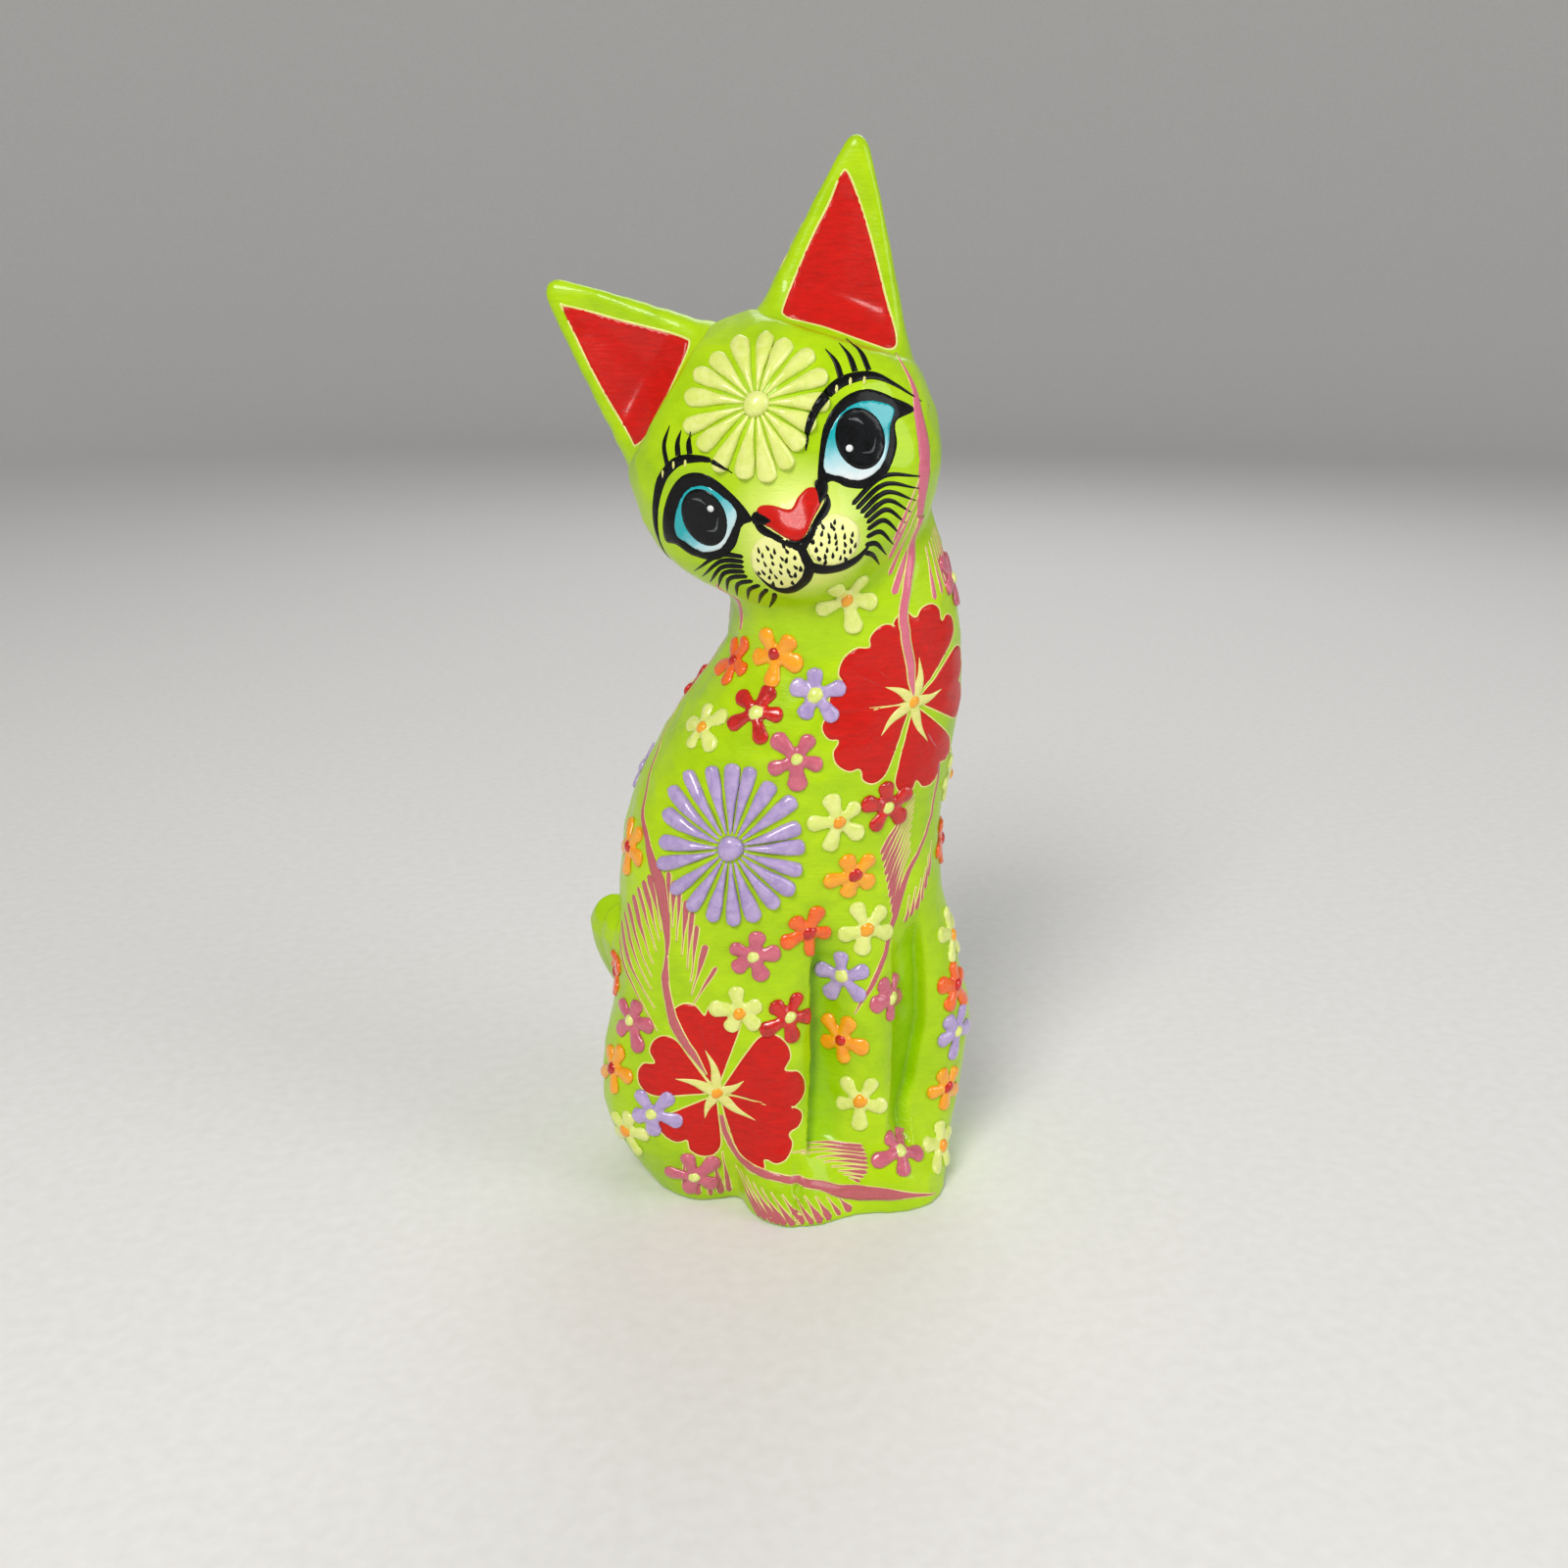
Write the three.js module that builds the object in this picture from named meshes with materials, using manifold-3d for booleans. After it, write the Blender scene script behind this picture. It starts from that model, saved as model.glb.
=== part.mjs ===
// A painted wooden alebrije cat, about 208 mm tall: it sits upright with its head tilted to its right.
// The figure is one carving with two glued, pegged ears and a glued, pegged tail, and its flowers are raised paste.
// Millimetres, +Z up, the cat's front faces -Y, and the origin is on its flat base, under the trunk's middle.

import * as THREE from 'three';
import { LoftGeometry } from 'three/addons/geometries/LoftGeometry.js';
import { mergeVertices } from 'three/addons/utils/BufferGeometryUtils.js';
import Module from 'manifold-3d';

const wasm = await Module();
wasm.setup();

// ---- Driving dimensions ----

const TRUNK_HEIGHT = 148; // base to the top of the neck, inside the head
const TRUNK_WIDTH = 68; // across the body's waist ring, without thighs and paws
const TRUNK_DEPTH = 46; // chest to back
const THIGH_SWELL = 6; // how far each thigh stands out of the trunk
const GROOVE_DEPTH = 3; // the knife-cut channels beside the left foreleg
const PAW_REACH = 9.5; // how far the forepaws stand out in front

const HEAD_WIDTH = 58.5;
const HEAD_HEIGHT = 56;
const HEAD_DEPTH = 46;
const HEAD_TILT = 20; // degrees, towards the cat's right
const HEAD_TURN = 13; // degrees, towards the cat's right
const HEAD_CENTRE = new THREE.Vector3(-0.5, -6, TRUNK_HEIGHT + 2.6);
const MUZZLE_SWELL = 6;

const RIGHT_EAR_WIDTH = 31.5; // along the seat on the head
const LEFT_EAR_WIDTH = 29.5;
const EAR_THICKNESS = 19; // at the seat
const RIGHT_EAR_HEIGHT = 29.3;
const LEFT_EAR_HEIGHT = 33.5;
const EAR_SEAT_RADIUS = HEAD_HEIGHT * 0.4375; // head centre to the flat seat of an ear
const EAR_HOLLOW = 0.95; // share of the ear's front that is scooped out

const TAIL_RADIUS = 5.5;
const TAIL_SINK = 0.6; // share of the tail's radius that lies in its channel in the back
const EAR_PEG_RADIUS = 2.5;
const EAR_PEG_LENGTH = 14;
const EAR_PEG_SETBACK = 4.5; // behind the middle of the seat, clear of the ear's hollow
const TAIL_PEG_RADIUS = 1.5;
const TAIL_PEG_LENGTH = 9;
const PEG_CLEARANCE = 0.15; // all round, and twice this at each end
const GLUE_GAP = 0.3; // between glued faces

const FLOWER_RADIUS = 5.3;
const PETAL_HEIGHT = 1.3; // of the raised paste, above the carving
const DOT_HEIGHT = 2; // the dot in the middle
const PASTE_GAP = 0.4; // under each raised flower
const FOREHEAD_DAISY_RADIUS = 13.5;
const CHEST_DAISY_RADIUS = 15;
const CHEST_DAISY_STRETCH = 1.15; // its height over its width

const BODY_COLUMNS = 72; // points round the trunk
const BODY_ROWS = 23;
const HEAD_COLUMNS = 34;
const HEAD_ROWS = 23;

// ---- Colours ----

const COLOURS = {
  lime: 0xa6d608,
  wood: 0xd9b889,
  red: 0xc81e1a,
  orange: 0xf5701c,
  amber: 0xf7ab1e,
  yellow: 0xe9ee96,
  lavender: 0xb39ad0,
  pink: 0xcb5d78,
};

// ---- Small helpers ----

const degrees = THREE.MathUtils.degToRad;

// A closed three.js geometry as a manifold-3d solid.
function solidOf(geometry) {
  const bare = new THREE.BufferGeometry().copy(geometry);
  bare.deleteAttribute('normal');
  bare.deleteAttribute('uv');
  const merged = mergeVertices(bare, 1e-4);
  return new wasm.Manifold(new wasm.Mesh({
    numProp: 3,
    vertProperties: new Float32Array(merged.attributes.position.array),
    triVerts: new Uint32Array(merged.index.array),
  }));
}

// A manifold-3d solid as a three.js geometry.
function geometryOf(solid) {
  const mesh = solid.getMesh();
  const geometry = new THREE.BufferGeometry();
  geometry.setAttribute('position', new THREE.BufferAttribute(mesh.vertProperties, 3));
  geometry.setIndex(new THREE.BufferAttribute(mesh.triVerts, 1));
  return geometry;
}

function named(name, geometry, colour, roughness = 0.35) {
  const material = new THREE.MeshStandardMaterial({ color: colour, roughness, metalness: 0 });
  const mesh = new THREE.Mesh(geometry, material);
  mesh.name = name;
  return mesh;
}

// A bell of height 1 round zero that has faded out by about twice its width.
const bell = (distance, width) => Math.exp(-((distance / width) ** 2));

// The smaller turn between two headings, in degrees.
function turnBetween(a, b) {
  const turn = Math.abs(a - b) % 360;
  return Math.min(turn, 360 - turn);
}

// ---- The trunk: one lofted form whose radius is worked out for each heading and height ----

// Heights are shares of the trunk's height. A heading is in degrees from the front, positive to the cat's left.
// Each row: height, middle x, middle y, then the reach to the cat's left, its right, the front and the back.
// Reaches are shares of half the trunk's width or depth.
const TRUNK_ROWS = [
  [0.00, 0, 0, 1.00, 0.84, 0.90, 1.06],
  [0.06, 0, 0, 1.03, 0.94, 0.94, 1.10],
  [0.20, 0, 0, 1.00, 1.00, 0.92, 1.12],
  [0.40, -0.5, 0, 0.95, 0.99, 0.92, 1.08],
  [0.54, 0, 0, 0.93, 0.93, 0.98, 1.04],
  [0.64, 4, 0, 0.87, 0.86, 0.98, 0.97],
  [0.71, 7.5, -0.5, 0.81, 0.77, 0.95, 0.93],
  [0.77, 10.5, -1, 0.71, 0.65, 0.91, 0.87],
  [0.82, 11.5, -2, 0.65, 0.64, 0.89, 0.83],
  [0.91, 7, -4, 0.66, 0.60, 0.80, 0.78],
  [0.97, 4, -5, 0.62, 0.50, 0.66, 0.62],
  [1.00, 2, -6, 0.38, 0.32, 0.40, 0.40],
];
const trunkRow = new THREE.CubicInterpolant(
  TRUNK_ROWS.map((row) => row[0]),
  TRUNK_ROWS.flatMap((row) => row.slice(1)),
  TRUNK_ROWS[0].length - 1,
);

// What swells out of the trunk or is cut into it: amount in mm, heading, height, and how far each spreads.
// Heights and rises are shares of the trunk's height.
const TRUNK_FORMS = [
  { name: 'left thigh', amount: THIGH_SWELL, heading: 78, turn: 34, height: 0.243, rise: 0.149 },
  { name: 'right thigh', amount: THIGH_SWELL, heading: -84, turn: 30, height: 0.135, rise: 0.115 },
  { name: 'left foot', amount: 10, heading: 46, turn: 19, height: 0.0, rise: 0.088 },
  { name: 'forepaws', amount: PAW_REACH, heading: 1, turn: 30, height: 0.0, rise: 0.081 },
  { name: 'cut beside the paws', amount: -5, heading: -37, turn: 9, height: 0.0, rise: 0.108 },
  { name: 'right foreleg', amount: 2.5, heading: -12, turn: 13, height: 0.176, rise: 0.162 },
  { name: 'left foreleg', amount: 3, heading: 33, turn: 9, height: 0.203, rise: 0.176 },
  { name: 'channel between the legs', amount: -GROOVE_DEPTH, heading: 12, turn: 9, height: 0.23, rise: 0.135 },
  { name: 'channel behind the left leg', amount: -GROOVE_DEPTH, heading: 51, turn: 8, height: 0.243, rise: 0.176 },
  { name: 'chest', amount: 2, heading: 0, turn: 50, height: 0.622, rise: 0.135 },
];

function trunkRadius(heading, z) {
  const [, , left, right, front, back] = trunkRow.evaluate(z / TRUNK_HEIGHT);
  const angle = degrees(heading);
  const side = Math.sin(angle) > 0 ? left : right;
  const end = Math.cos(angle) > 0 ? front : back;
  const across = Math.abs(Math.sin(angle)) / (side * TRUNK_WIDTH / 2);
  const along = Math.abs(Math.cos(angle)) / (end * TRUNK_DEPTH / 2);
  const squareness = 2.5;
  let radius = (across ** squareness + along ** squareness) ** (-1 / squareness);
  for (const form of TRUNK_FORMS) {
    const near = bell(turnBetween(heading, form.heading), form.turn);
    radius += form.amount * near * bell(z / TRUNK_HEIGHT - form.height, form.rise);
  }
  return radius;
}

function trunkMiddle(z) {
  const [x, y] = trunkRow.evaluate(z / TRUNK_HEIGHT);
  return new THREE.Vector3(x, y, z);
}

function trunkSolid() {
  const sections = [];
  for (let row = 0; row <= BODY_ROWS; row++) {
    const z = TRUNK_HEIGHT * row / BODY_ROWS;
    const middle = trunkMiddle(z);
    const section = [];
    for (let column = 0; column < BODY_COLUMNS; column++) {
      const heading = 360 * column / BODY_COLUMNS;
      const radius = trunkRadius(heading, z);
      const angle = degrees(heading);
      section.push(new THREE.Vector3(radius * Math.sin(angle), -radius * Math.cos(angle), 0).add(middle));
    }
    sections.push(section);
  }
  return solidOf(new LoftGeometry(sections, { capStart: true, capEnd: true }));
}

// ---- The head: a rounded form with its own frame of right, up and forward ----

const headFrame = new THREE.Matrix4();
{
  const forward = new THREE.Vector3(0, -1, 0).applyAxisAngle(new THREE.Vector3(0, 0, 1), degrees(-HEAD_TURN));
  const up = new THREE.Vector3(0, 0, 1).applyAxisAngle(forward, degrees(HEAD_TILT));
  const side = new THREE.Vector3().crossVectors(forward, up).negate();
  headFrame.makeBasis(side, up, forward.clone()).setPosition(HEAD_CENTRE);
}

// Swellings and hollows of the head: amount in mm, then where on the face it is (right, up) and its spread in mm.
const HEAD_FORMS = [
  { name: 'muzzle', amount: MUZZLE_SWELL, right: 0, up: -16, spread: 9 },
  { name: 'nose', amount: 2, right: 0, up: -9, spread: 5 },
  { name: 'brow', amount: 1.5, right: 0, up: 10, spread: 12 },
  { name: 'right eye hollow', amount: -1.5, right: -16, up: -4, spread: 8 },
  { name: 'left eye hollow', amount: -1.5, right: 16, up: -3, spread: 8 },
];

function headPoint(direction) {
  const point = direction.clone();
  const squareness = 2.35;
  const size = (Math.abs(point.x) ** squareness + Math.abs(point.y) ** squareness
    + Math.abs(point.z) ** squareness) ** (-1 / squareness);
  point.multiplyScalar(size);
  const hollowCheek = point.x < 0 ? 0.4 : 0.24;
  const narrowing = 1 - hollowCheek * Math.max(0, -point.y) ** 2;
  point.x *= HEAD_WIDTH / 2 * narrowing;
  point.y *= HEAD_HEIGHT / 2;
  point.z *= HEAD_DEPTH / 2;
  if (point.z > 0) {
    const facing = Math.min(1, point.z / (HEAD_DEPTH / 4));
    for (const form of HEAD_FORMS) {
      const away = Math.hypot(point.x - form.right, point.y - form.up);
      point.z += form.amount * facing * bell(away, form.spread);
    }
  }
  return point;
}

function headSolid() {
  const geometry = new THREE.SphereGeometry(1, HEAD_COLUMNS, HEAD_ROWS);
  const positions = geometry.attributes.position;
  for (let i = 0; i < positions.count; i++) {
    const moved = headPoint(new THREE.Vector3().fromBufferAttribute(positions, i));
    positions.setXYZ(i, moved.x, moved.y, moved.z);
  }
  return solidOf(geometry.applyMatrix4(headFrame));
}

// ---- Ears: each has a frame on its flat seat, with x along the seat, y away from the head and z forward ----

// Each ear: the side it is on, how far round the head its seat is, its width and height, how far it is shifted
// outwards, and how far the tip leans outwards.
const EARS = [
  { name: 'right_ear', side: -1, round: 38.5, width: RIGHT_EAR_WIDTH, height: RIGHT_EAR_HEIGHT, shift: 2, lean: -6 },
  { name: 'left_ear', side: 1, round: 37, width: LEFT_EAR_WIDTH, height: LEFT_EAR_HEIGHT, shift: 2.5, lean: -7 },
];

function earFrame(ear) {
  const turned = new THREE.Matrix4().makeRotationZ(degrees(-ear.side * ear.round));
  const outwards = new THREE.Matrix4().makeTranslation(ear.side * ear.shift, EAR_SEAT_RADIUS, 0);
  return headFrame.clone().multiply(turned).multiply(outwards);
}

function earSolid(ear) {
  const sections = [];
  const columns = 24;
  const rows = 9;
  for (let row = 0; row <= rows; row++) {
    const share = row / rows;
    const width = ear.width / 2 * (1 - share) ** 0.93 + 1.2;
    const depth = EAR_THICKNESS / 2 * (1 - share) ** 0.9 + 1.2;
    const section = [];
    for (let column = 0; column < columns; column++) {
      const angle = 2 * Math.PI * column / columns;
      const across = Math.cos(angle);
      let forward = Math.sin(angle);
      const middle = 1 - across * across;
      const fade = Math.min(1, 5 * share) * Math.min(1, 4 * (1 - share));
      if (forward > 0) forward *= 1 - EAR_HOLLOW * middle * fade;
      section.push(new THREE.Vector3(
        width * across + ear.side * ear.lean * share,
        GLUE_GAP + ear.height * share,
        depth * forward - 0.5,
      ));
    }
    sections.push(section.reverse());
  }
  const geometry = new LoftGeometry(sections, { capStart: true, capEnd: true });
  return solidOf(geometry.applyMatrix4(earFrame(ear)));
}

// A square block whose lower face is the ear's seat, to cut the head flat there.
function earSeatCutter(ear) {
  const block = new THREE.BoxGeometry(60, 20, 60).translate(0, 10, 0);
  return solidOf(block.applyMatrix4(earFrame(ear)));
}

// ---- Pegs: half in the body and half in the glued piece, along y of the frame given ----

function pegSolid(frame, radius, length) {
  const peg = new THREE.CylinderGeometry(radius, radius, length, 16).translate(0, GLUE_GAP / 2, 0);
  return solidOf(peg.applyMatrix4(frame));
}

function pegSocket(frame, radius, length) {
  return pegSolid(frame, radius + PEG_CLEARANCE, length + 4 * PEG_CLEARANCE);
}

// ---- The tail: a bar along the back that ends blunt on the right hip ----

// Each point: height as a share of the trunk's, and heading.
const TAIL_PATH = [[0.06, 165], [0.06, 182], [0.08, 200], [0.13, 218], [0.22, 232], [0.31, 245], [0.385, 257]];
const TAIL_PEG_AT = 2; // the point of the path where the peg goes in

// A point on the trunk's skin, moved outwards by the amount given.
function onTrunk(share, heading, outwards = 0) {
  const z = share * TRUNK_HEIGHT;
  const reach = trunkRadius(heading, z) + outwards;
  const angle = degrees(heading);
  return trunkMiddle(z).add(new THREE.Vector3(reach * Math.sin(angle), -reach * Math.cos(angle), 0));
}

// The tail's radius swells from its slim root to its full size, and turns in a little at the blunt end.
function tailRadius(share) {
  const root = THREE.MathUtils.lerp(0.5, 1, THREE.MathUtils.smoothstep(share, 0, 0.35));
  const end = 1 - 0.3 * THREE.MathUtils.smoothstep(share, 0.94, 1);
  return TAIL_RADIUS * root * end;
}

function tailSolid(clearance) {
  const points = TAIL_PATH.map(([share, heading], i) => {
    const radius = tailRadius(i / (TAIL_PATH.length - 1));
    return onTrunk(share, heading, radius * (1 - TAIL_SINK));
  });
  const path = new THREE.CatmullRomCurve3(points);
  const steps = 20;
  const columns = 14;
  const frames = path.computeFrenetFrames(steps);
  const sections = [];
  for (let step = 0; step <= steps; step++) {
    const middle = path.getPointAt(step / steps);
    const radius = tailRadius(step / steps) + clearance;
    const section = [];
    for (let column = 0; column < columns; column++) {
      const angle = 2 * Math.PI * column / columns;
      section.push(middle.clone()
        .addScaledVector(frames.normals[step], radius * Math.cos(angle))
        .addScaledVector(frames.binormals[step], radius * Math.sin(angle)));
    }
    sections.push(section);
  }
  for (const point of sections[steps]) point.addScaledVector(frames.tangents[steps], clearance);
  return solidOf(new LoftGeometry(sections, { capStart: true, capEnd: true }));
}

// The frame of the tail's peg: y points straight out of the back, from the floor of the tail's channel.
function tailPegFrame() {
  const [share, heading] = TAIL_PATH[TAIL_PEG_AT];
  const frame = new THREE.Matrix4().makeRotationZ(degrees(heading + 180));
  return frame.setPosition(onTrunk(share, heading, -TAIL_RADIUS * TAIL_SINK));
}

// ---- Raised flowers: paste petals and a dot that follow the skin of the carving ----

const raycaster = new THREE.Raycaster();

// Where the line from a point first meets the carving, or undefined.
function meet(carving, from, direction) {
  raycaster.set(from, direction);
  return raycaster.intersectObject(carving, false)[0];
}

// The frame of a flower: its middle on the skin, z out of the skin, y up and then turned by the spin.
function skinFrame(carving, from, towards, spin) {
  const direction = towards.clone().sub(from).normalize();
  const side = new THREE.Vector3().crossVectors(direction, new THREE.Vector3(0, 0, 1)).normalize();
  const up = new THREE.Vector3().crossVectors(side, direction);
  const reach = FLOWER_RADIUS / 2;
  const outwards = new THREE.Vector3();
  for (const [across, along] of [[0, 0], [-1, 0], [1, 0], [0, -1], [0, 1]]) {
    const start = from.clone().addScaledVector(side, across * reach).addScaledVector(up, along * reach);
    const hit = meet(carving, start, direction);
    if (hit) outwards.add(hit.face.normal);
  }
  outwards.normalize();
  const middle = meet(carving, from, direction).point;
  const right = new THREE.Vector3().crossVectors(new THREE.Vector3(0, 0, 1), outwards).normalize();
  const skywards = new THREE.Vector3().crossVectors(outwards, right);
  const frame = new THREE.Matrix4().makeBasis(right, skywards, outwards).setPosition(middle);
  return frame.multiply(new THREE.Matrix4().makeRotationZ(degrees(-spin)));
}

// The outline of the petals: for each petal a waist, a shoulder, the tip and a shoulder, stretched upwards.
function petalOutline(petals, radius, waist, stretch) {
  const outline = [];
  for (let petal = 0; petal < petals; petal++) {
    for (const [turn, reach] of [[-0.5, waist], [-0.25, 0.88], [0, 1], [0.25, 0.88]]) {
      const angle = 2 * Math.PI * (petal + turn) / petals + Math.PI / 2;
      const flat = new THREE.Vector2(Math.cos(angle), Math.sin(angle) * stretch);
      outline.push(flat.multiplyScalar(radius * reach));
    }
  }
  return outline;
}

const FLOWER_RINGS = { topRings: [], lowerRings: [0.6] };
const DAISY_RINGS = { topRings: [0.65], lowerRings: [0.8, 0.55, 0.3] };

// One raised flower. Rings at the shares given keep its top and its underside close to a rounded skin.
function flowerGeometry(carving, frame, options) {
  const { petals, radius, waist, dotShare, stretch = 1, topRings, lowerRings } = options;
  const outwards = new THREE.Vector3().setFromMatrixColumn(frame, 2);
  const inwards = outwards.clone().negate();
  const positions = [];
  let skin = 0; // how far the skin lies above the flower's flat frame, where last met
  const place = (flat, height) => {
    const start = new THREE.Vector3(flat.x, flat.y, 2 * radius).applyMatrix4(frame);
    const hit = meet(carving, start, inwards);
    if (hit) skin = 2 * radius - hit.distance;
    const point = new THREE.Vector3(flat.x, flat.y, skin + height).applyMatrix4(frame);
    return positions.push(point.x, point.y, point.z) / 3 - 1;
  };
  const outline = petalOutline(petals, radius, waist, stretch);
  const middle = new THREE.Vector2();
  const ring = (share, height) => outline.map((flat) => place(flat.clone().multiplyScalar(share), height));
  const top = place(middle, DOT_HEIGHT);
  const dotEdge = outline.map((flat) => place(flat.clone().setLength(radius * dotShare), PETAL_HEIGHT));
  const bottom = place(middle, PASTE_GAP);
  const rings = [
    dotEdge,
    ...topRings.map((share) => ring(share, PETAL_HEIGHT)),
    ring(1, PETAL_HEIGHT),
    ring(1, PASTE_GAP),
    ...lowerRings.map((share) => ring(share, PASTE_GAP)),
  ];
  const index = [];
  for (let i = 0; i < outline.length; i++) {
    const j = (i + 1) % outline.length;
    index.push(top, rings[0][i], rings[0][j]);
    for (let r = 1; r < rings.length; r++) {
      const inner = rings[r - 1];
      const outer = rings[r];
      index.push(inner[i], outer[i], outer[j], inner[i], outer[j], inner[j]);
    }
    const last = rings[rings.length - 1];
    index.push(bottom, last[j], last[i]);
  }
  const geometry = new THREE.BufferGeometry();
  geometry.setAttribute('position', new THREE.Float32BufferAttribute(positions, 3));
  geometry.setIndex(index);
  return geometry;
}

// Small five-petalled flowers on the trunk: height as a share of the trunk's, heading, spin and colour.
const FLOWERS = [
  // throat, chest and shoulders
  [0.860, -6, 27, 'yellow'],
  [0.768, -68, 26, 'orange'],
  [0.787, -43, -30, 'amber'],
  [0.741, -18, 0, 'lavender'],
  [0.716, -41, 21, 'red'],
  [0.688, -62, -16, 'yellow'],
  [0.660, -16, 30, 'pink'],
  [0.574, 12, -15, 'yellow'],
  [0.586, 34, -8, 'red'],
  [0.493, 25, -23, 'amber'],
  [0.870, 67, 30, 'pink'],
  [0.595, 76, 35, 'yellow'],
  [0.497, 79, -33, 'orange'],
  [0.512, -78, -32, 'amber'],
  // forelegs
  [0.415, 4, 28, 'orange'],
  [0.413, 32, -29, 'yellow'],
  [0.385, -24, 11, 'pink'],
  [0.342, 22, -7, 'lavender'],
  [0.307, 42, -27, 'pink'],
  [0.303, -31, -10, 'yellow'],
  [0.294, -7, 30, 'red'],
  [0.248, 21, 29, 'amber'],
  [0.160, 27, 34, 'yellow'],
  [0.085, 39, -31, 'pink'],
  // right thigh
  [0.305, -92, -28, 'orange'],
  [0.268, -72, 12, 'pink'],
  [0.192, -77, 22, 'amber'],
  [0.106, -71, 16, 'yellow'],
  [0.147, -61, 34, 'lavender'],
  [0.048, -50, -18, 'pink'],
  // left thigh
  [0.363, 73, -2, 'yellow'],
  [0.295, 68, 3, 'orange'],
  [0.228, 66, 36, 'lavender'],
  [0.144, 64, -25, 'amber'],
  [0.064, 58, 9, 'yellow'],
  // back
  [0.800, 150, 10, 'red'],
  [0.720, 195, -20, 'amber'],
  [0.700, 240, 15, 'red'],
  [0.600, 160, 30, 'lavender'],
  [0.590, 250, 0, 'lavender'],
  [0.480, 135, -15, 'pink'],
  [0.470, 222, 25, 'yellow'],
  [0.360, 110, 5, 'red'],
  [0.330, 168, 20, 'orange'],
  [0.220, 118, -10, 'yellow'],
  [0.200, 190, 0, 'pink'],
  [0.110, 105, 30, 'lavender'],
];

function trunkFlowerFrame(carving, share, heading, spin) {
  const outside = onTrunk(share, heading, HEAD_WIDTH);
  const z = share * TRUNK_HEIGHT;
  return skinFrame(carving, outside, trunkMiddle(z), spin);
}

function headFlowerFrame(carving, right, up, spin) {
  const outside = new THREE.Vector3(right, up, HEAD_DEPTH).applyMatrix4(headFrame);
  const inside = new THREE.Vector3(right * 0.8, up * 0.8, 0).applyMatrix4(headFrame);
  return skinFrame(carving, outside, inside, spin - HEAD_TILT);
}

// ---- The whole figure ----

function buildFigure() {
  const group = new THREE.Group();
  let body = trunkSolid().add(headSolid()).subtract(tailSolid(GLUE_GAP));
  for (const ear of EARS) body = body.subtract(earSeatCutter(ear));

  for (const ear of EARS) {
    const frame = earFrame(ear).multiply(new THREE.Matrix4().makeTranslation(0, 0, -EAR_PEG_SETBACK));
    const socket = pegSocket(frame, EAR_PEG_RADIUS, EAR_PEG_LENGTH);
    body = body.subtract(socket);
    group.add(named(ear.name, geometryOf(earSolid(ear).subtract(socket)), COLOURS.lime));
    const peg = pegSolid(frame, EAR_PEG_RADIUS, EAR_PEG_LENGTH);
    group.add(named(`${ear.name}_peg`, geometryOf(peg), COLOURS.wood, 0.7));
  }

  const tailSocket = pegSocket(tailPegFrame(), TAIL_PEG_RADIUS, TAIL_PEG_LENGTH);
  body = body.subtract(tailSocket);
  group.add(named('tail', geometryOf(tailSolid(0).subtract(tailSocket)), COLOURS.lime));
  const tailPeg = pegSolid(tailPegFrame(), TAIL_PEG_RADIUS, TAIL_PEG_LENGTH);
  group.add(named('tail_peg', geometryOf(tailPeg), COLOURS.wood, 0.7));

  const bodyMesh = named('body', geometryOf(body), COLOURS.lime);
  group.add(bodyMesh);

  const forehead = headFlowerFrame(bodyMesh, 0.3, 14.3, 0);
  const foreheadDaisy = flowerGeometry(bodyMesh, forehead, {
    petals: 17, radius: FOREHEAD_DAISY_RADIUS, waist: 0.5, dotShare: 0.2, ...DAISY_RINGS,
  });
  group.add(named('forehead_daisy', foreheadDaisy, COLOURS.yellow));
  const chest = trunkFlowerFrame(bodyMesh, 0.54, -33, 0);
  const chestDaisy = flowerGeometry(bodyMesh, chest, {
    petals: 20, radius: CHEST_DAISY_RADIUS, waist: 0.5, dotShare: 0.17,
    stretch: CHEST_DAISY_STRETCH, ...DAISY_RINGS,
  });
  group.add(named('chest_daisy', chestDaisy, COLOURS.lavender));

  FLOWERS.forEach(([share, heading, spin, colour], i) => {
    const frame = trunkFlowerFrame(bodyMesh, share, heading, spin);
    const flower = flowerGeometry(bodyMesh, frame, {
      petals: 5, radius: FLOWER_RADIUS, waist: 0.5, dotShare: 0.36, ...FLOWER_RINGS,
    });
    const number = String(i + 1).padStart(2, '0');
    group.add(named(`flower_${number}_${colour}`, flower, COLOURS[colour]));
  });
  return group;
}

export default buildFigure();
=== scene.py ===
"""A painted wooden alebrije cat on a pale floor.

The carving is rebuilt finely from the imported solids, then painted: every flat colour is a thin layer laid
on the carving's skin, and every raised flower is a blob of dried paste. Places are in millimetres until a
mesh is made.
"""

import math
import random

import bmesh
import bpy
import numpy as np
from mathutils import Matrix, Vector, kdtree, noise
from mathutils.bvhtree import BVHTree
from mathutils.geometry import delaunay_2d_cdt


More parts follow.
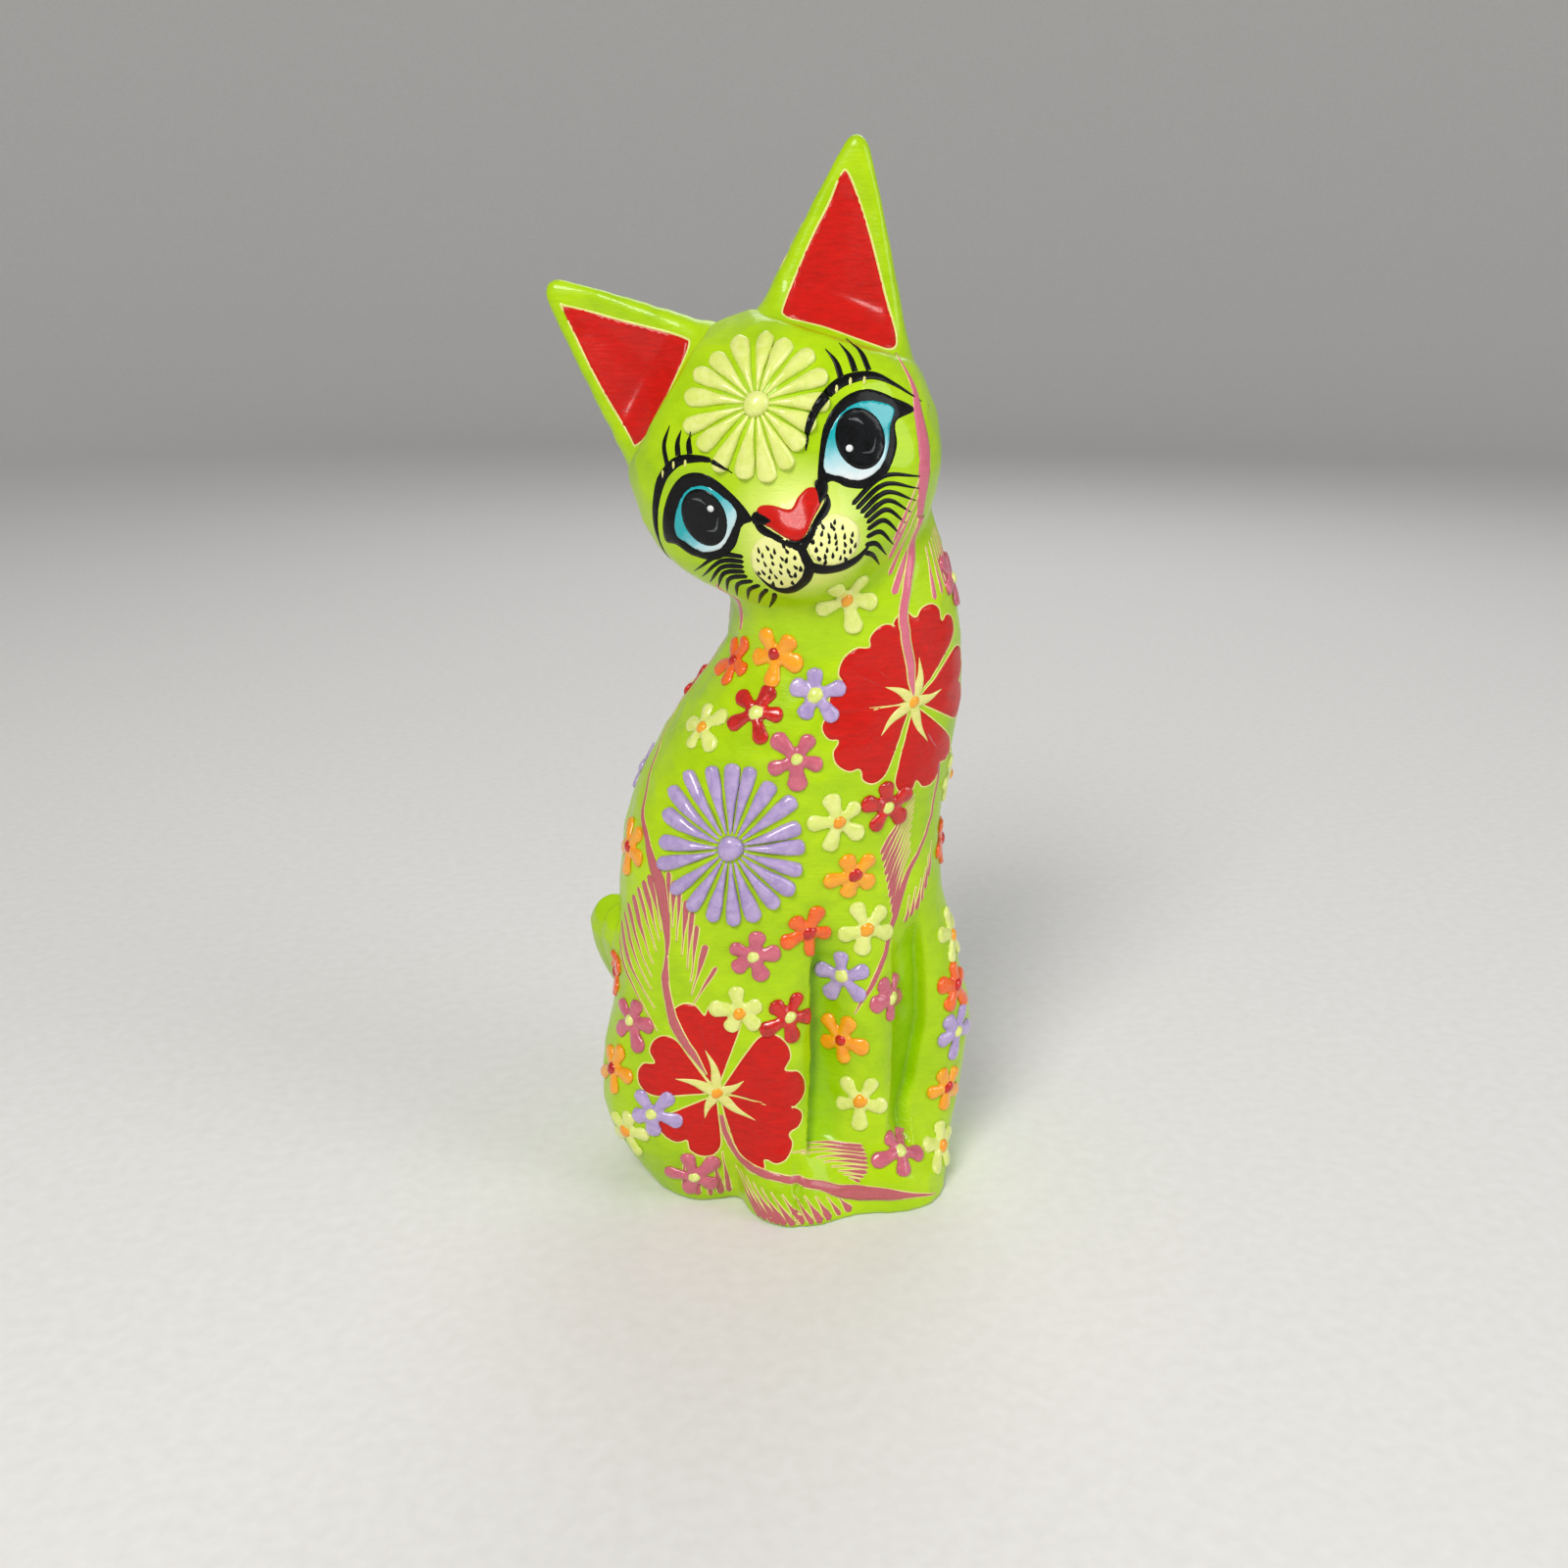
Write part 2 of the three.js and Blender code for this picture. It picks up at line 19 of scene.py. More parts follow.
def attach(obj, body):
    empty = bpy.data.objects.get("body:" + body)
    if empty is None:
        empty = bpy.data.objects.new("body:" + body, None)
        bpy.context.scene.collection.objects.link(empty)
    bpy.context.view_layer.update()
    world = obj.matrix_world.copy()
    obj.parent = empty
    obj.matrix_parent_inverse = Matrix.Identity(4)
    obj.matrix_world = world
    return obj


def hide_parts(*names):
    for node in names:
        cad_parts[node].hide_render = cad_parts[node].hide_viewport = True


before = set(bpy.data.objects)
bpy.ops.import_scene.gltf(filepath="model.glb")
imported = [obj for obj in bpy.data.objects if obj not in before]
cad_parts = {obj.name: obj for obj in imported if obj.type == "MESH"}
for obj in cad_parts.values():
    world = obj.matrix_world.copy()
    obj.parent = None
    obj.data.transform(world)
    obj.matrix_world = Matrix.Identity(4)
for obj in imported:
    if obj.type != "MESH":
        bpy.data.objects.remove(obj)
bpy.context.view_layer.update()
MM = 0.001

# ---- Sizes, in millimetres ----

SKIN_PITCH = 0.6  # grid of the rebuilt carving
FACET_SIZE = 5.5  # across one knife facet
FACET_RISE = 0.018  # how sharply the ridges between facets stand up
PAINT = 0.07  # one coat of flat paint
LINE = 0.14  # a loaded brush line
SUNK = 0.15  # how far the underside of a coat lies in the wood
FLOWER_DEPTH = 0.85  # of raised paste
DAISY_DEPTH = 1.1
DEEPEST_CUT = 2.4  # a knife cut this deep gets the darkest painted shade

HEAD_TILT = 20
HEAD_TURN = 13
HEAD_CENTRE = Vector((-0.5, -6, 150.6))
EAR_SEAT = 24.5
EAR_THICKNESS = 19
EAR_HOLLOW = 0.9

# The line up the middle of the trunk: height, x and y.
TRUNK_AXIS = [
    (0, 0, 0), (59, -0.5, 0), (80, 0, 0), (95, 4, 0), (105, 7.5, -0.5), (114, 10.5, -1), (121, 11.5, -2),
    (135, 7, -4), (144, 4, -5), (148, 2, -6),
]

# ---- Colours, as red, green and blue from 0 to 255 on a screen ----

LIME = (158, 201, 0)
LIME_LIGHT = (187, 225, 0)
LIME_PALE = (232, 246, 130)
# painted shade, for the lime in the knife channels
LIME_CHANNEL_SHADE = (128, 188, 0)
WOOD = (214, 180, 130)
RED = (214, 26, 16)
ORANGE = (248, 112, 22)
AMBER = (250, 172, 18)
YELLOW = (234, 240, 140)
LAVENDER = (190, 168, 214)
PINK = (212, 104, 124)
STEM = (186, 92, 94)
ROSE = (222, 112, 138)
CREAM = (240, 232, 150)
BLACK = (8, 8, 8)
WHITE = (240, 244, 244)
TEAL = (0, 172, 180)


def linear(colour):
    """A screen colour as the shader's linear red, green, blue and alpha."""
    parts = [c / 255 for c in colour]
    return [p / 12.92 if p <= 0.04045 else ((p + 0.055) / 1.055) ** 2.4 for p in parts] + [1.0]


def mixed(a, b, share):
    return tuple(x + (y - x) * share for x, y in zip(a, b))


# ---- Materials ----


class Nodes:
    """A short way to write a material's nodes."""

    def __init__(self, name):
        self.material = bpy.data.materials.new(name)
        self.material.use_nodes = True
        self.tree = self.material.node_tree
        self.shader = self.tree.nodes["Principled BSDF"]
        self.places = self.add("ShaderNodeTexCoord").outputs["Object"]

    def add(self, kind, **settings):
        node = self.tree.nodes.new(kind)
        for key, value in settings.items():
            setattr(node, key, value)
        return node

    def link(self, source, target):
        self.tree.links.new(source, target)

    def noise(self, size, detail=3.0, stretch=(1, 1, 1), distortion=0.0):
        """Noise from 0 to 1, whose features are about the size given, in millimetres."""
        mapping = self.add("ShaderNodeMapping")
        mapping.inputs["Scale"].default_value = stretch
        self.link(self.places, mapping.inputs["Vector"])
        node = self.add("ShaderNodeTexNoise")
        node.inputs["Scale"].default_value = 1 / (size * MM)
        node.inputs["Detail"].default_value = detail
        node.inputs["Distortion"].default_value = distortion
        self.link(mapping.outputs["Vector"], node.inputs["Vector"])
        return node.outputs["Fac"]

    def ranged(self, value, low, high, to_low=0.0, to_high=1.0):
        node = self.add("ShaderNodeMapRange", clamp=True)
        self.link(value, node.inputs["Value"])
        for socket, number in zip(("From Min", "From Max", "To Min", "To Max"), (low, high, to_low, to_high)):
            node.inputs[socket].default_value = number
        return node.outputs["Result"]

    def mix(self, share, a, b):
        """Colour a where share is 0 and b where it is 1. Each is a screen colour or a socket."""
        node = self.add("ShaderNodeMix", data_type="RGBA")
        self.link(share, node.inputs["Factor"])
        for socket, colour in ((node.inputs[6], a), (node.inputs[7], b)):
            if isinstance(colour, tuple):
                socket.default_value = linear(colour)
            else:
                self.link(colour, socket)
        return node.outputs[2]

    def sum(self, a, b, weight):
        node = self.add("ShaderNodeMath", operation="MULTIPLY_ADD")
        self.link(b, node.inputs[0])
        node.inputs[1].default_value = weight
        self.link(a, node.inputs[2])
        return node.outputs[0]

    def along(self, direction, start, end):
        """From 0 to 1 along a direction, between two distances from the origin, in millimetres."""
        node = self.add("ShaderNodeVectorMath", operation="DOT_PRODUCT")
        self.link(self.places, node.inputs[0])
        node.inputs[1].default_value = direction
        return self.ranged(node.outputs["Value"], start * MM, end * MM)

    def near(self, centre, inner, outer):
        """1 within inner millimetres of a point, and 0 beyond outer."""
        node = self.add("ShaderNodeVectorMath", operation="DISTANCE")
        self.link(self.places, node.inputs[0])
        node.inputs[1].default_value = [c * MM for c in centre]
        return self.ranged(node.outputs["Value"], inner * MM, outer * MM, 1.0, 0.0)

    def finish(self, colour, rough, bump, bump_depth, coat, coat_roughness=0.06, specular=0.4):
        shader = self.shader
        shader.inputs["Specular IOR Level"].default_value = specular
        self.link(colour, shader.inputs["Base Color"])
        self.link(rough, shader.inputs["Roughness"])
        node = self.add("ShaderNodeBump")
        node.inputs["Strength"].default_value = 1.0
        node.inputs["Distance"].default_value = bump_depth * MM
        self.link(bump, node.inputs["Height"])
        self.link(node.outputs["Normal"], shader.inputs["Normal"])
        shader.inputs["Coat Weight"].default_value = coat
        shader.inputs["Coat Roughness"].default_value = coat_roughness
        return self.material


def brushed(nodes, streak_turn=(1, 1, 5)):
    """Brush streaks that run round the figure, over a finer grain."""
    streaks = nodes.noise(2.6, 4.0, streak_turn, 0.4)
    grain = nodes.noise(0.35, 2.0)
    return nodes.sum(streaks, grain, 0.25)


def lime_paint(name):
    """Thick lime paint over carved wood: paler on the muzzle, patchy where one coat is thin, darker in cuts as
    painted shade.
    """
    nodes = Nodes(name)
    broad = nodes.noise(22, 2.0)
    patchy = nodes.noise(5, 4.0, (1, 1, 1.6), 0.6)
    share = nodes.ranged(nodes.sum(broad, patchy, 0.6), 0.55, 1.05)
    colour = nodes.mix(share, LIME, LIME_LIGHT)
    worn = nodes.ranged(nodes.noise(1.3, 5.0, (1, 1, 1), 1.0), 0.68, 0.78, 0.0, 0.55)
    colour = nodes.mix(worn, colour, mixed(LIME_LIGHT, YELLOW, 0.35))
    # Painted shade: the lime darkens in the knife channels, most where the cut is deepest.
    hollow = nodes.add("ShaderNodeAttribute", attribute_name="hollow").outputs["Fac"]
    colour = nodes.mix(nodes.ranged(hollow, 0.1, 1.0, 0.0, 0.6), colour, LIME_CHANNEL_SHADE)
    muzzle = nodes.near(head.at(0, -12, 30), 9, 17)
    colour = nodes.mix(muzzle, colour, LIME_PALE)
    rough = nodes.ranged(patchy, 0.3, 0.75, 0.26, 0.46)
    return nodes.finish(colour, rough, brushed(nodes), 0.12, 0.28, specular=0.2)


def flat_paint(name, colour, shade, coat=0.35, streaks=(1, 1, 5), specular=0.35):
    """A brushed colour that varies towards the shade."""
    nodes = Nodes(name)
    patchy = nodes.noise(3.2, 4.0, streaks, 0.5)
    fine = nodes.noise(0.6, 3.0)
    share = nodes.ranged(nodes.sum(patchy, fine, 0.35), 0.45, 0.95)
    rough = nodes.ranged(fine, 0.3, 0.8, 0.25, 0.42)
    return nodes.finish(nodes.mix(share, colour, shade), rough, brushed(nodes, streaks), 0.06, coat,
                        specular=specular)


def paste_paint(name, colour, shade, light):
    """Poured paste: even and glossy, with cloudy darker patches and lighter flecks."""
    nodes = Nodes(name)
    cloudy = nodes.noise(2.4, 3.0, (1, 1, 1), 0.8)
    fine = nodes.noise(0.5, 3.0)
    mixed_colour = nodes.mix(nodes.ranged(cloudy, 0.35, 0.62), shade, colour)
    flecks = nodes.ranged(nodes.noise(0.9, 4.0, (1, 1, 1), 1.2), 0.62, 0.74, 0.0, 0.5)
    rough = nodes.ranged(fine, 0.3, 0.8, 0.2, 0.36)
    bump = nodes.sum(nodes.noise(1.4, 3.0), fine, 0.3)
    return nodes.finish(nodes.mix(flecks, mixed_colour, light), rough, bump, 0.16, 0.7)


def bare_wood(name):
    """Straight-grained pale wood, for the pegs."""
    nodes = Nodes(name)
    rings = nodes.noise(1.1, 5.0, (1, 1, 0.08), 0.8)
    pores = nodes.noise(0.25, 2.0, (1, 1, 0.1))
    colour = nodes.mix(nodes.ranged(rings, 0.35, 0.65), WOOD, mixed(WOOD, (120, 80, 40), 0.45))
    rough = nodes.ranged(pores, 0.3, 0.7, 0.55, 0.8)
    return nodes.finish(colour, rough, nodes.sum(rings, pores, 0.5), 0.08, 0.0)


def eye_paint(name, direction, middle, spread):
    """The eyeball: blue at the top, which fades through a pale wash to white below."""
    nodes = Nodes(name)
    share = nodes.along(direction, middle - spread, middle + spread)
    cloudy = nodes.noise(1.6, 3.0, (1, 1, 1), 0.5)
    share = nodes.ranged(nodes.sum(share, cloudy, 0.25), 0.12, 1.0)
    pale = nodes.mix(nodes.ranged(share, 0.0, 0.5), WHITE, (150, 215, 226))
    colour = nodes.mix(nodes.ranged(share, 0.4, 0.75), pale, TEAL)
    rough = nodes.ranged(cloudy, 0.3, 0.7, 0.18, 0.3)
    return nodes.finish(colour, rough, brushed(nodes, (1, 1, 1)), 0.05, 0.6)


# ---- The carving's frames: places on the head, and a flat drawing plane over the skin ----


class Plane:
    """A drawing plane: x and y in millimetres, dropped onto the skin against its outward direction."""

    def __init__(self, origin, right, up, out, reach):
        self.origin, self.right, self.up, self.out, self.reach = origin, right, up, out, reach

    def at(self, x, y, away=0.0):
        return self.origin + self.right * x + self.up * y + self.out * away

    def drop(self, x, y):
        return skin.hit(self.at(x, y, self.reach), -self.out)


def head_plane():
    turn = math.radians(HEAD_TURN)
    forward = Vector((-math.sin(turn), -math.cos(turn), 0))
    up = Vector((0, 0, 1))
    up.rotate(Matrix.Rotation(math.radians(HEAD_TILT), 3, forward))
    return Plane(HEAD_CENTRE, up.cross(forward), up, forward, 60)


head = head_plane()
head_back = Plane(HEAD_CENTRE, -head.right, head.up, -head.out, 60)


class Skin:
    """The carved surface in millimetres, to find places on it."""

    def __init__(self, objects):
        points, faces = [], []
        for obj in objects:
            first = len(points)
            points += [v.co / MM for v in obj.data.vertices]
            faces += [[first + i for i in face.vertices] for face in obj.data.polygons]
        self.tree = BVHTree.FromPolygons(points, faces)

    def hit(self, start, direction):
        """The place on the skin and its outward direction, or None."""
        place, out, _, _ = self.tree.ray_cast(start, direction)
        return None if place is None else (place, out)


def trunk_middle(z):
    heights, xs, ys = zip(*TRUNK_AXIS)
    return Vector((np.interp(z, heights, xs), np.interp(z, heights, ys), z))


def trunk_drop(heading, z):
    """The place on the skin at a height and a heading, in degrees from the front towards the cat's left."""
    angle = math.radians(heading)
    out = Vector((math.sin(angle), -math.cos(angle), 0))
    return skin.hit(trunk_middle(z) + out * 90, -out)


def plane_at(place, out, reach=12):
    """A drawing plane that touches the skin, with y as near to upwards as it goes."""
    right = Vector((0, 0, 1)).cross(out).normalized()
    return Plane(place, right, out.cross(right), out, reach)


def smooth_out(drop, x, y, reach):
    """The outward direction of the skin averaged round a place."""
    total = Vector()
    for i in range(8):
        angle = math.tau * i / 8
        found = drop(x + reach * math.cos(angle), y + reach * math.sin(angle))
        if found:
            total += found[1]
    return total.normalized()


# ---- Making meshes ----


def shown(name, points, faces, material, slot, replaced=()):
    """A smooth piece of the figure, from points in millimetres."""
    mesh = bpy.data.meshes.new(name)
    mesh.from_pydata((np.asarray(points, float) * MM).tolist(), [], faces)
    mesh.validate()
    mesh.shade_smooth()
    obj = bpy.data.objects.new(name, mesh)
    bpy.context.scene.collection.objects.link(obj)
    return dress(obj, material, slot, replaced)


def dress(obj, material, slot, replaced=()):
    obj.data.materials.clear()
    obj.data.materials.append(material)
    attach(obj, "root")
    if replaced:
        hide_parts(*replaced)
    return obj


def apply_modifiers(obj):
    mesh = bpy.data.meshes.new_from_object(obj.evaluated_get(bpy.context.evaluated_depsgraph_get()))
    old = obj.data
    obj.modifiers.clear()
    obj.data = mesh
    bpy.data.meshes.remove(old)
    obj.data.shade_smooth()


def remeshed(obj, pitch, smoothing):
    """Rebuilds an object as one even skin, and smooths it."""
    grid = obj.modifiers.new("grid", "REMESH")
    grid.mode = "VOXEL"
    grid.voxel_size = pitch * MM
    soft = obj.modifiers.new("soft", "SMOOTH")
    soft.factor = 0.5
    soft.iterations = smoothing
    apply_modifiers(obj)


def catmull(points, count, closed=False):
    """Points along a smooth curve through the points given, and each one's share of the way."""
    points = np.asarray(points, float)
    last = len(points) if closed else len(points) - 1
    steps = np.linspace(0, last, count, endpoint=not closed)
    spans = np.minimum(steps.astype(int), last - 1)
    t = (steps - spans)[:, None]
    if closed:
        before, start, end, after = (points[(spans + k) % len(points)] for k in (-1, 0, 1, 2))
    else:
        padded = np.vstack([2 * points[0] - points[1], points, 2 * points[-1] - points[-2]])
        before, start, end, after = (padded[spans + k] for k in (0, 1, 2, 3))
    curve = 0.5 * (2 * start + (end - before) * t + (2 * before - 5 * start + 4 * end - after) * t**2
                   + (3 * start - before - 3 * end + after) * t**3)
    return curve, steps / last


class Layer:
    """All that is painted in one colour: one piece that strokes and patches are added to."""

    def __init__(self, name, material, slot):
        self.name, self.material, self.slot = name, material, slot
        self.points, self.faces = [], []

    def add(self, points, faces):
        first = len(self.points)
        self.points += [tuple(p) for p in points]
        self.faces += [tuple(first + i for i in face) for face in faces]

    def stroke(self, drop, line, widths, height=LINE, lift=0.0, step=0.6, domed=False, blunt=(0, 0)):
        """A brush stroke along a line: its half widths, and how far each end is rounded."""
        rough, _ = catmull(line, 6 * len(line))
        found = [f[0] for f in (drop(*p) for p in rough) if f]
        if len(found) < 2:
            return
        length = sum((b - a).length for a, b in zip(found, found[1:]))
        count = max(4, math.ceil(length / step) + 1)
        samples, shares = catmull(line, count)
        rows = [(found, share) for found, share in ((drop(*p), s) for p, s in zip(samples, shares)) if found]
        if len(rows) < 3:
            return
        places = [r[0][0] for r in rows]
        outs = [r[0][1] for r in rows]
        across = 9 if domed else 5
        ring = across + 2
        points, faces = [], []
        for i, (_, share) in enumerate(rows):
            nearby = range(max(0, i - 2), min(len(rows), i + 3))
            out = sum((outs[j] for j in nearby), Vector()).normalized()
            ahead = places[min(i + 1, len(rows) - 1)] - places[max(i - 1, 0)]
            side = out.cross(ahead).normalized()
            half = float(np.interp(share, np.linspace(0, 1, len(widths)), widths))
            for end, gone in zip(blunt, (share, 1 - share)):
                if end and gone * length < end:
                    half *= math.sqrt(max(0.0, 1 - (1 - gone * length / end) ** 2))
            half = max(half, 0.03)
            rise = height * min(1.0, half / 0.9) if domed else height * min(1.0, 0.35 + half / 0.6)
            for k in range(across):
                t = -math.cos(math.pi * k / (across - 1))
                place = places[i] + side * (t * half)
                if half > 0.8:
                    met = skin.hit(place + out * 3, -out)
                    if met and (met[0] - place).length < 1.5:
                        place = met[0]
                crown = math.sqrt(max(0.0, 1 - t * t)) if domed else min(1.0, 2.2 * (1 - abs(t)))
                points.append(place + out * (lift + rise * crown - (0.02 if abs(t) > 0.99 else 0)))
            for t in (1, -1):
                points.append(places[i] + side * (t * half * 0.9) - out * SUNK)
        for i in range(len(rows) - 1):
            for k in range(ring):
                a, b = i * ring + k, i * ring + (k + 1) % ring
                faces.append((a, b, b + ring, a + ring))
        faces.append(tuple(range(ring))[::-1])
        faces.append(tuple((len(rows) - 1) * ring + k for k in range(ring)))
        self.add(points, faces)

    def patch(self, drop, outline, height=PAINT, lift=0.0, pitch=0.7, soft=0.5):
        """A filled outline, laid on the skin with its edge rounded off."""
        outline = np.asarray(outline, float)
        low, high = outline.min(0), outline.max(0)
        grid = []
        for row, y in enumerate(np.arange(low[1], high[1], pitch * 0.87)):
            for x in np.arange(low[0] + (row % 2) * pitch / 2, high[0], pitch):
                if np.hypot(*(outline - (x, y)).T).min() > pitch * 0.45:
                    grid.append((x, y))
        flat = [Vector(p) for p in outline] + [Vector(p) for p in grid]
        flat, _, faces, _, _, _ = delaunay_2d_cdt(flat, [], [list(range(len(outline)))], 1, 1e-5)
        drops = [drop(*p) for p in flat]
        top, bottom = [], []
        for p, found in zip(flat, drops):
            away = np.hypot(*(outline - (p.x, p.y)).T).min()
            place, out = found if found else (None, None)
            top.append(place + out * (lift + height * min(1.0, away / soft) ** 0.5) if found else None)
            bottom.append(place - out * SUNK if found else None)
        kept = [f for f in faces if all(drops[i] for i in f)]
        index = {}
        points, made = [], []
        for level, places in enumerate((top, bottom)):
            for f in kept:
                for i in f:
                    if (level, i) not in index:
                        index[level, i] = len(points)
                        points.append(places[i])
        edges = {}
        for f in kept:
            made.append(tuple(index[0, i] for i in f))
            made.append(tuple(index[1, i] for i in reversed(f)))
            for a, b in zip(f, f[1:] + f[:1]):
                edges[a, b] = True
        for a, b in edges:
            if (b, a) not in edges:
                made.append((index[0, b], index[0, a], index[1, a], index[1, b]))
        self.add(points, made)

    def dome(self, plane, x, y, radius, height, rings=6, columns=24, wobble=0.06):
        """A rounded dot of paste."""
        points, faces = [], []
        for ring in range(rings + 1):
            share = ring / rings
            for k in range(columns):
                angle = math.tau * k / columns
                uneven = math.sin(2 * angle + x) + 0.6 * math.cos(3 * angle + y)
                size = share * radius * (1 + wobble * uneven)
                px, py = x + size * math.cos(angle), y + size * math.sin(angle)
                found = plane.drop(px, py)
                place = found[0] if found else plane.at(px, py)
                rise = height * math.sqrt(max(0.0, 1 - share**2.6)) - 0.1 * share
                points.append(place + plane.out * rise)
        for ring in range(1, rings):
            for k in range(columns):
                a, b = ring * columns + k, ring * columns + (k + 1) % columns
                faces.append((a, a + columns, b + columns, b))
        crown = columns
        points.append(sum((points[i] for i in range(columns)), Vector()) / columns)
        middle = len(points) - 1
        for k in range(columns):
            faces.append((middle, crown + k, crown + (k + 1) % columns))
        rim = rings * columns
        points.append(points[middle] - plane.out * (height + SUNK))
        base = len(points) - 1
        for k in range(columns):
            faces.append((base, rim + (k + 1) % columns, rim + k))
        used = sorted({i for face in faces for i in face})
        place_of = {old: new for new, old in enumerate(used)}
        self.add([points[i] for i in used], [tuple(place_of[i] for i in face) for face in faces])

    def make(self, replaced=()):
        return shown(self.name, self.points, self.faces, self.material, self.slot, replaced)


# ---- The carving ----


def bell(distance, width):
    return np.exp(-((distance / width) ** 2))


# Crisp knife channels: the crisp edge's heading at some heights, how wide the cut is towards its soft side,
# and its depth. The cut lies to the cat's left of its crisp edge where the side is 1.
CHANNELS = [
    {"edge": [(10, 1), (17, 2), (28, 6), (54, 7)],
     "side": 1, "wide": 20, "deep": 3.2, "low": 13, "high": 62},
    {"edge": [(12, 46), (18, 49), (25, 54), (36, 57), (55, 59)],
     "side": -1, "wide": 14, "deep": 3.2, "low": 12, "high": 62},
]
PAW_SPLIT = {"heading": -4, "wide": 1.6, "deep": 1.2, "high": 13}


def carve_details(obj):
    """Cuts the crisp channels, the split between the paws and the knife facets into a rebuilt carving."""
    mesh = obj.data
    count = len(mesh.vertices)
    places = np.empty(count * 3)
    mesh.vertices.foreach_get("co", places)
    places = places.reshape(-1, 3) / MM
    outs = np.empty(count * 3)
    mesh.vertex_normals.foreach_get("vector", outs)
    outs = outs.reshape(-1, 3)
    moved = np.zeros(count)
    heights, xs, ys = zip(*TRUNK_AXIS)
    z = places[:, 2]
    x = places[:, 0] - np.interp(z, heights, xs)
    y = places[:, 1] - np.interp(z, heights, ys)
    heading = np.degrees(np.arctan2(x, -y))
    for cut in CHANNELS:
        levels, edges = zip(*cut["edge"])
        into = (heading - np.interp(z, levels, edges)) * cut["side"]
        wall = np.clip(into / 1.5, 0, 1)
        floor = np.clip(1 - into / cut["wide"], 0, 1)
        ends = np.clip((z - cut["low"]) / 3, 0, 1) * np.clip((cut["high"] - z) / 8, 0, 1)
        moved -= cut["deep"] * wall * floor * ends
    # How deep each point lies in a channel, kept for the lime paint's painted shade in the cuts.
    hollow = mesh.attributes.new("hollow", "FLOAT", "POINT")
    hollow.data.foreach_set("value", np.clip(-moved / DEEPEST_CUT, 0, 1) ** 0.7)
    moved -= (PAW_SPLIT["deep"] * bell(heading - PAW_SPLIT["heading"], PAW_SPLIT["wide"])
              * np.clip((PAW_SPLIT["high"] - z) / 4, 0, 1) * (y < 0))
    moved += facets(places)
    moved *= np.clip(z / 1.2, 0, 1)
    places += outs * moved[:, None]
    places[:, 2] = np.maximum(places[:, 2], 0)
    mesh.vertices.foreach_set("co", (places * MM).ravel())
    mesh.update()


def facets(places):
    """Shallow knife facets round many scattered centres, and slow waves: how far each point moves out."""
    scatter = random.Random(5)
    low, high = places.min(0), places.max(0)
    tree_points = []
    cells = ((high - low) / FACET_SIZE).astype(int) + 1
    for cell in np.ndindex(*cells):
        tree_points.append([low[i] + (cell[i] + scatter.random()) * FACET_SIZE for i in range(3)])
    tree = kdtree.KDTree(len(tree_points))
    for i, p in enumerate(tree_points):
        tree.insert(p, i)
    tree.balance()
    away = np.array([tree.find(p)[2] for p in places])
    waves = np.array([noise.noise(Vector(p) * 0.08) for p in places])
    return FACET_RISE * (away**2 - 9) * 0.8 + 0.35 * waves


def node_copy(node, name):
    """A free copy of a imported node, to be reworked."""
    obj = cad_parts[node].copy()
    obj.data = obj.data.copy()
    obj.name = name
    obj.parent = None
    for key in list(obj.keys()):
        del obj[key]
    bpy.context.scene.collection.objects.link(obj)
    return obj


def carving(material):
    """The trunk and head, with the ears' seats and the tail's channel in them."""
    obj = node_copy("body", "carved_body")
    remeshed(obj, SKIN_PITCH, 26)
    carve_details(obj)
    return dress(obj, material, "lime_paint", ["body"])


# Each ear: its side, how far round the head it sits, and its width, height, shift and lean, as packed.
EARS = [
    {"name": "right_ear", "side": -1, "round": 38.5, "width": 31.5, "height": 29.3, "shift": 2, "lean": -6},
    {"name": "left_ear", "side": 1, "round": 37, "width": 29.5, "height": 33.5, "shift": 2.5, "lean": -7},
]


def ear_plane(ear):
    """Right along the seat, up away from the head, and out to the front."""
    turn = Matrix.Rotation(math.radians(-ear["side"] * ear["round"]), 3, head.out)
    right, up = head.right.copy(), head.up.copy()
    right.rotate(turn)
    up.rotate(turn)
    origin = HEAD_CENTRE + right * (ear["side"] * ear["shift"]) + up * EAR_SEAT
    return Plane(origin, right, up, head.out, 30)


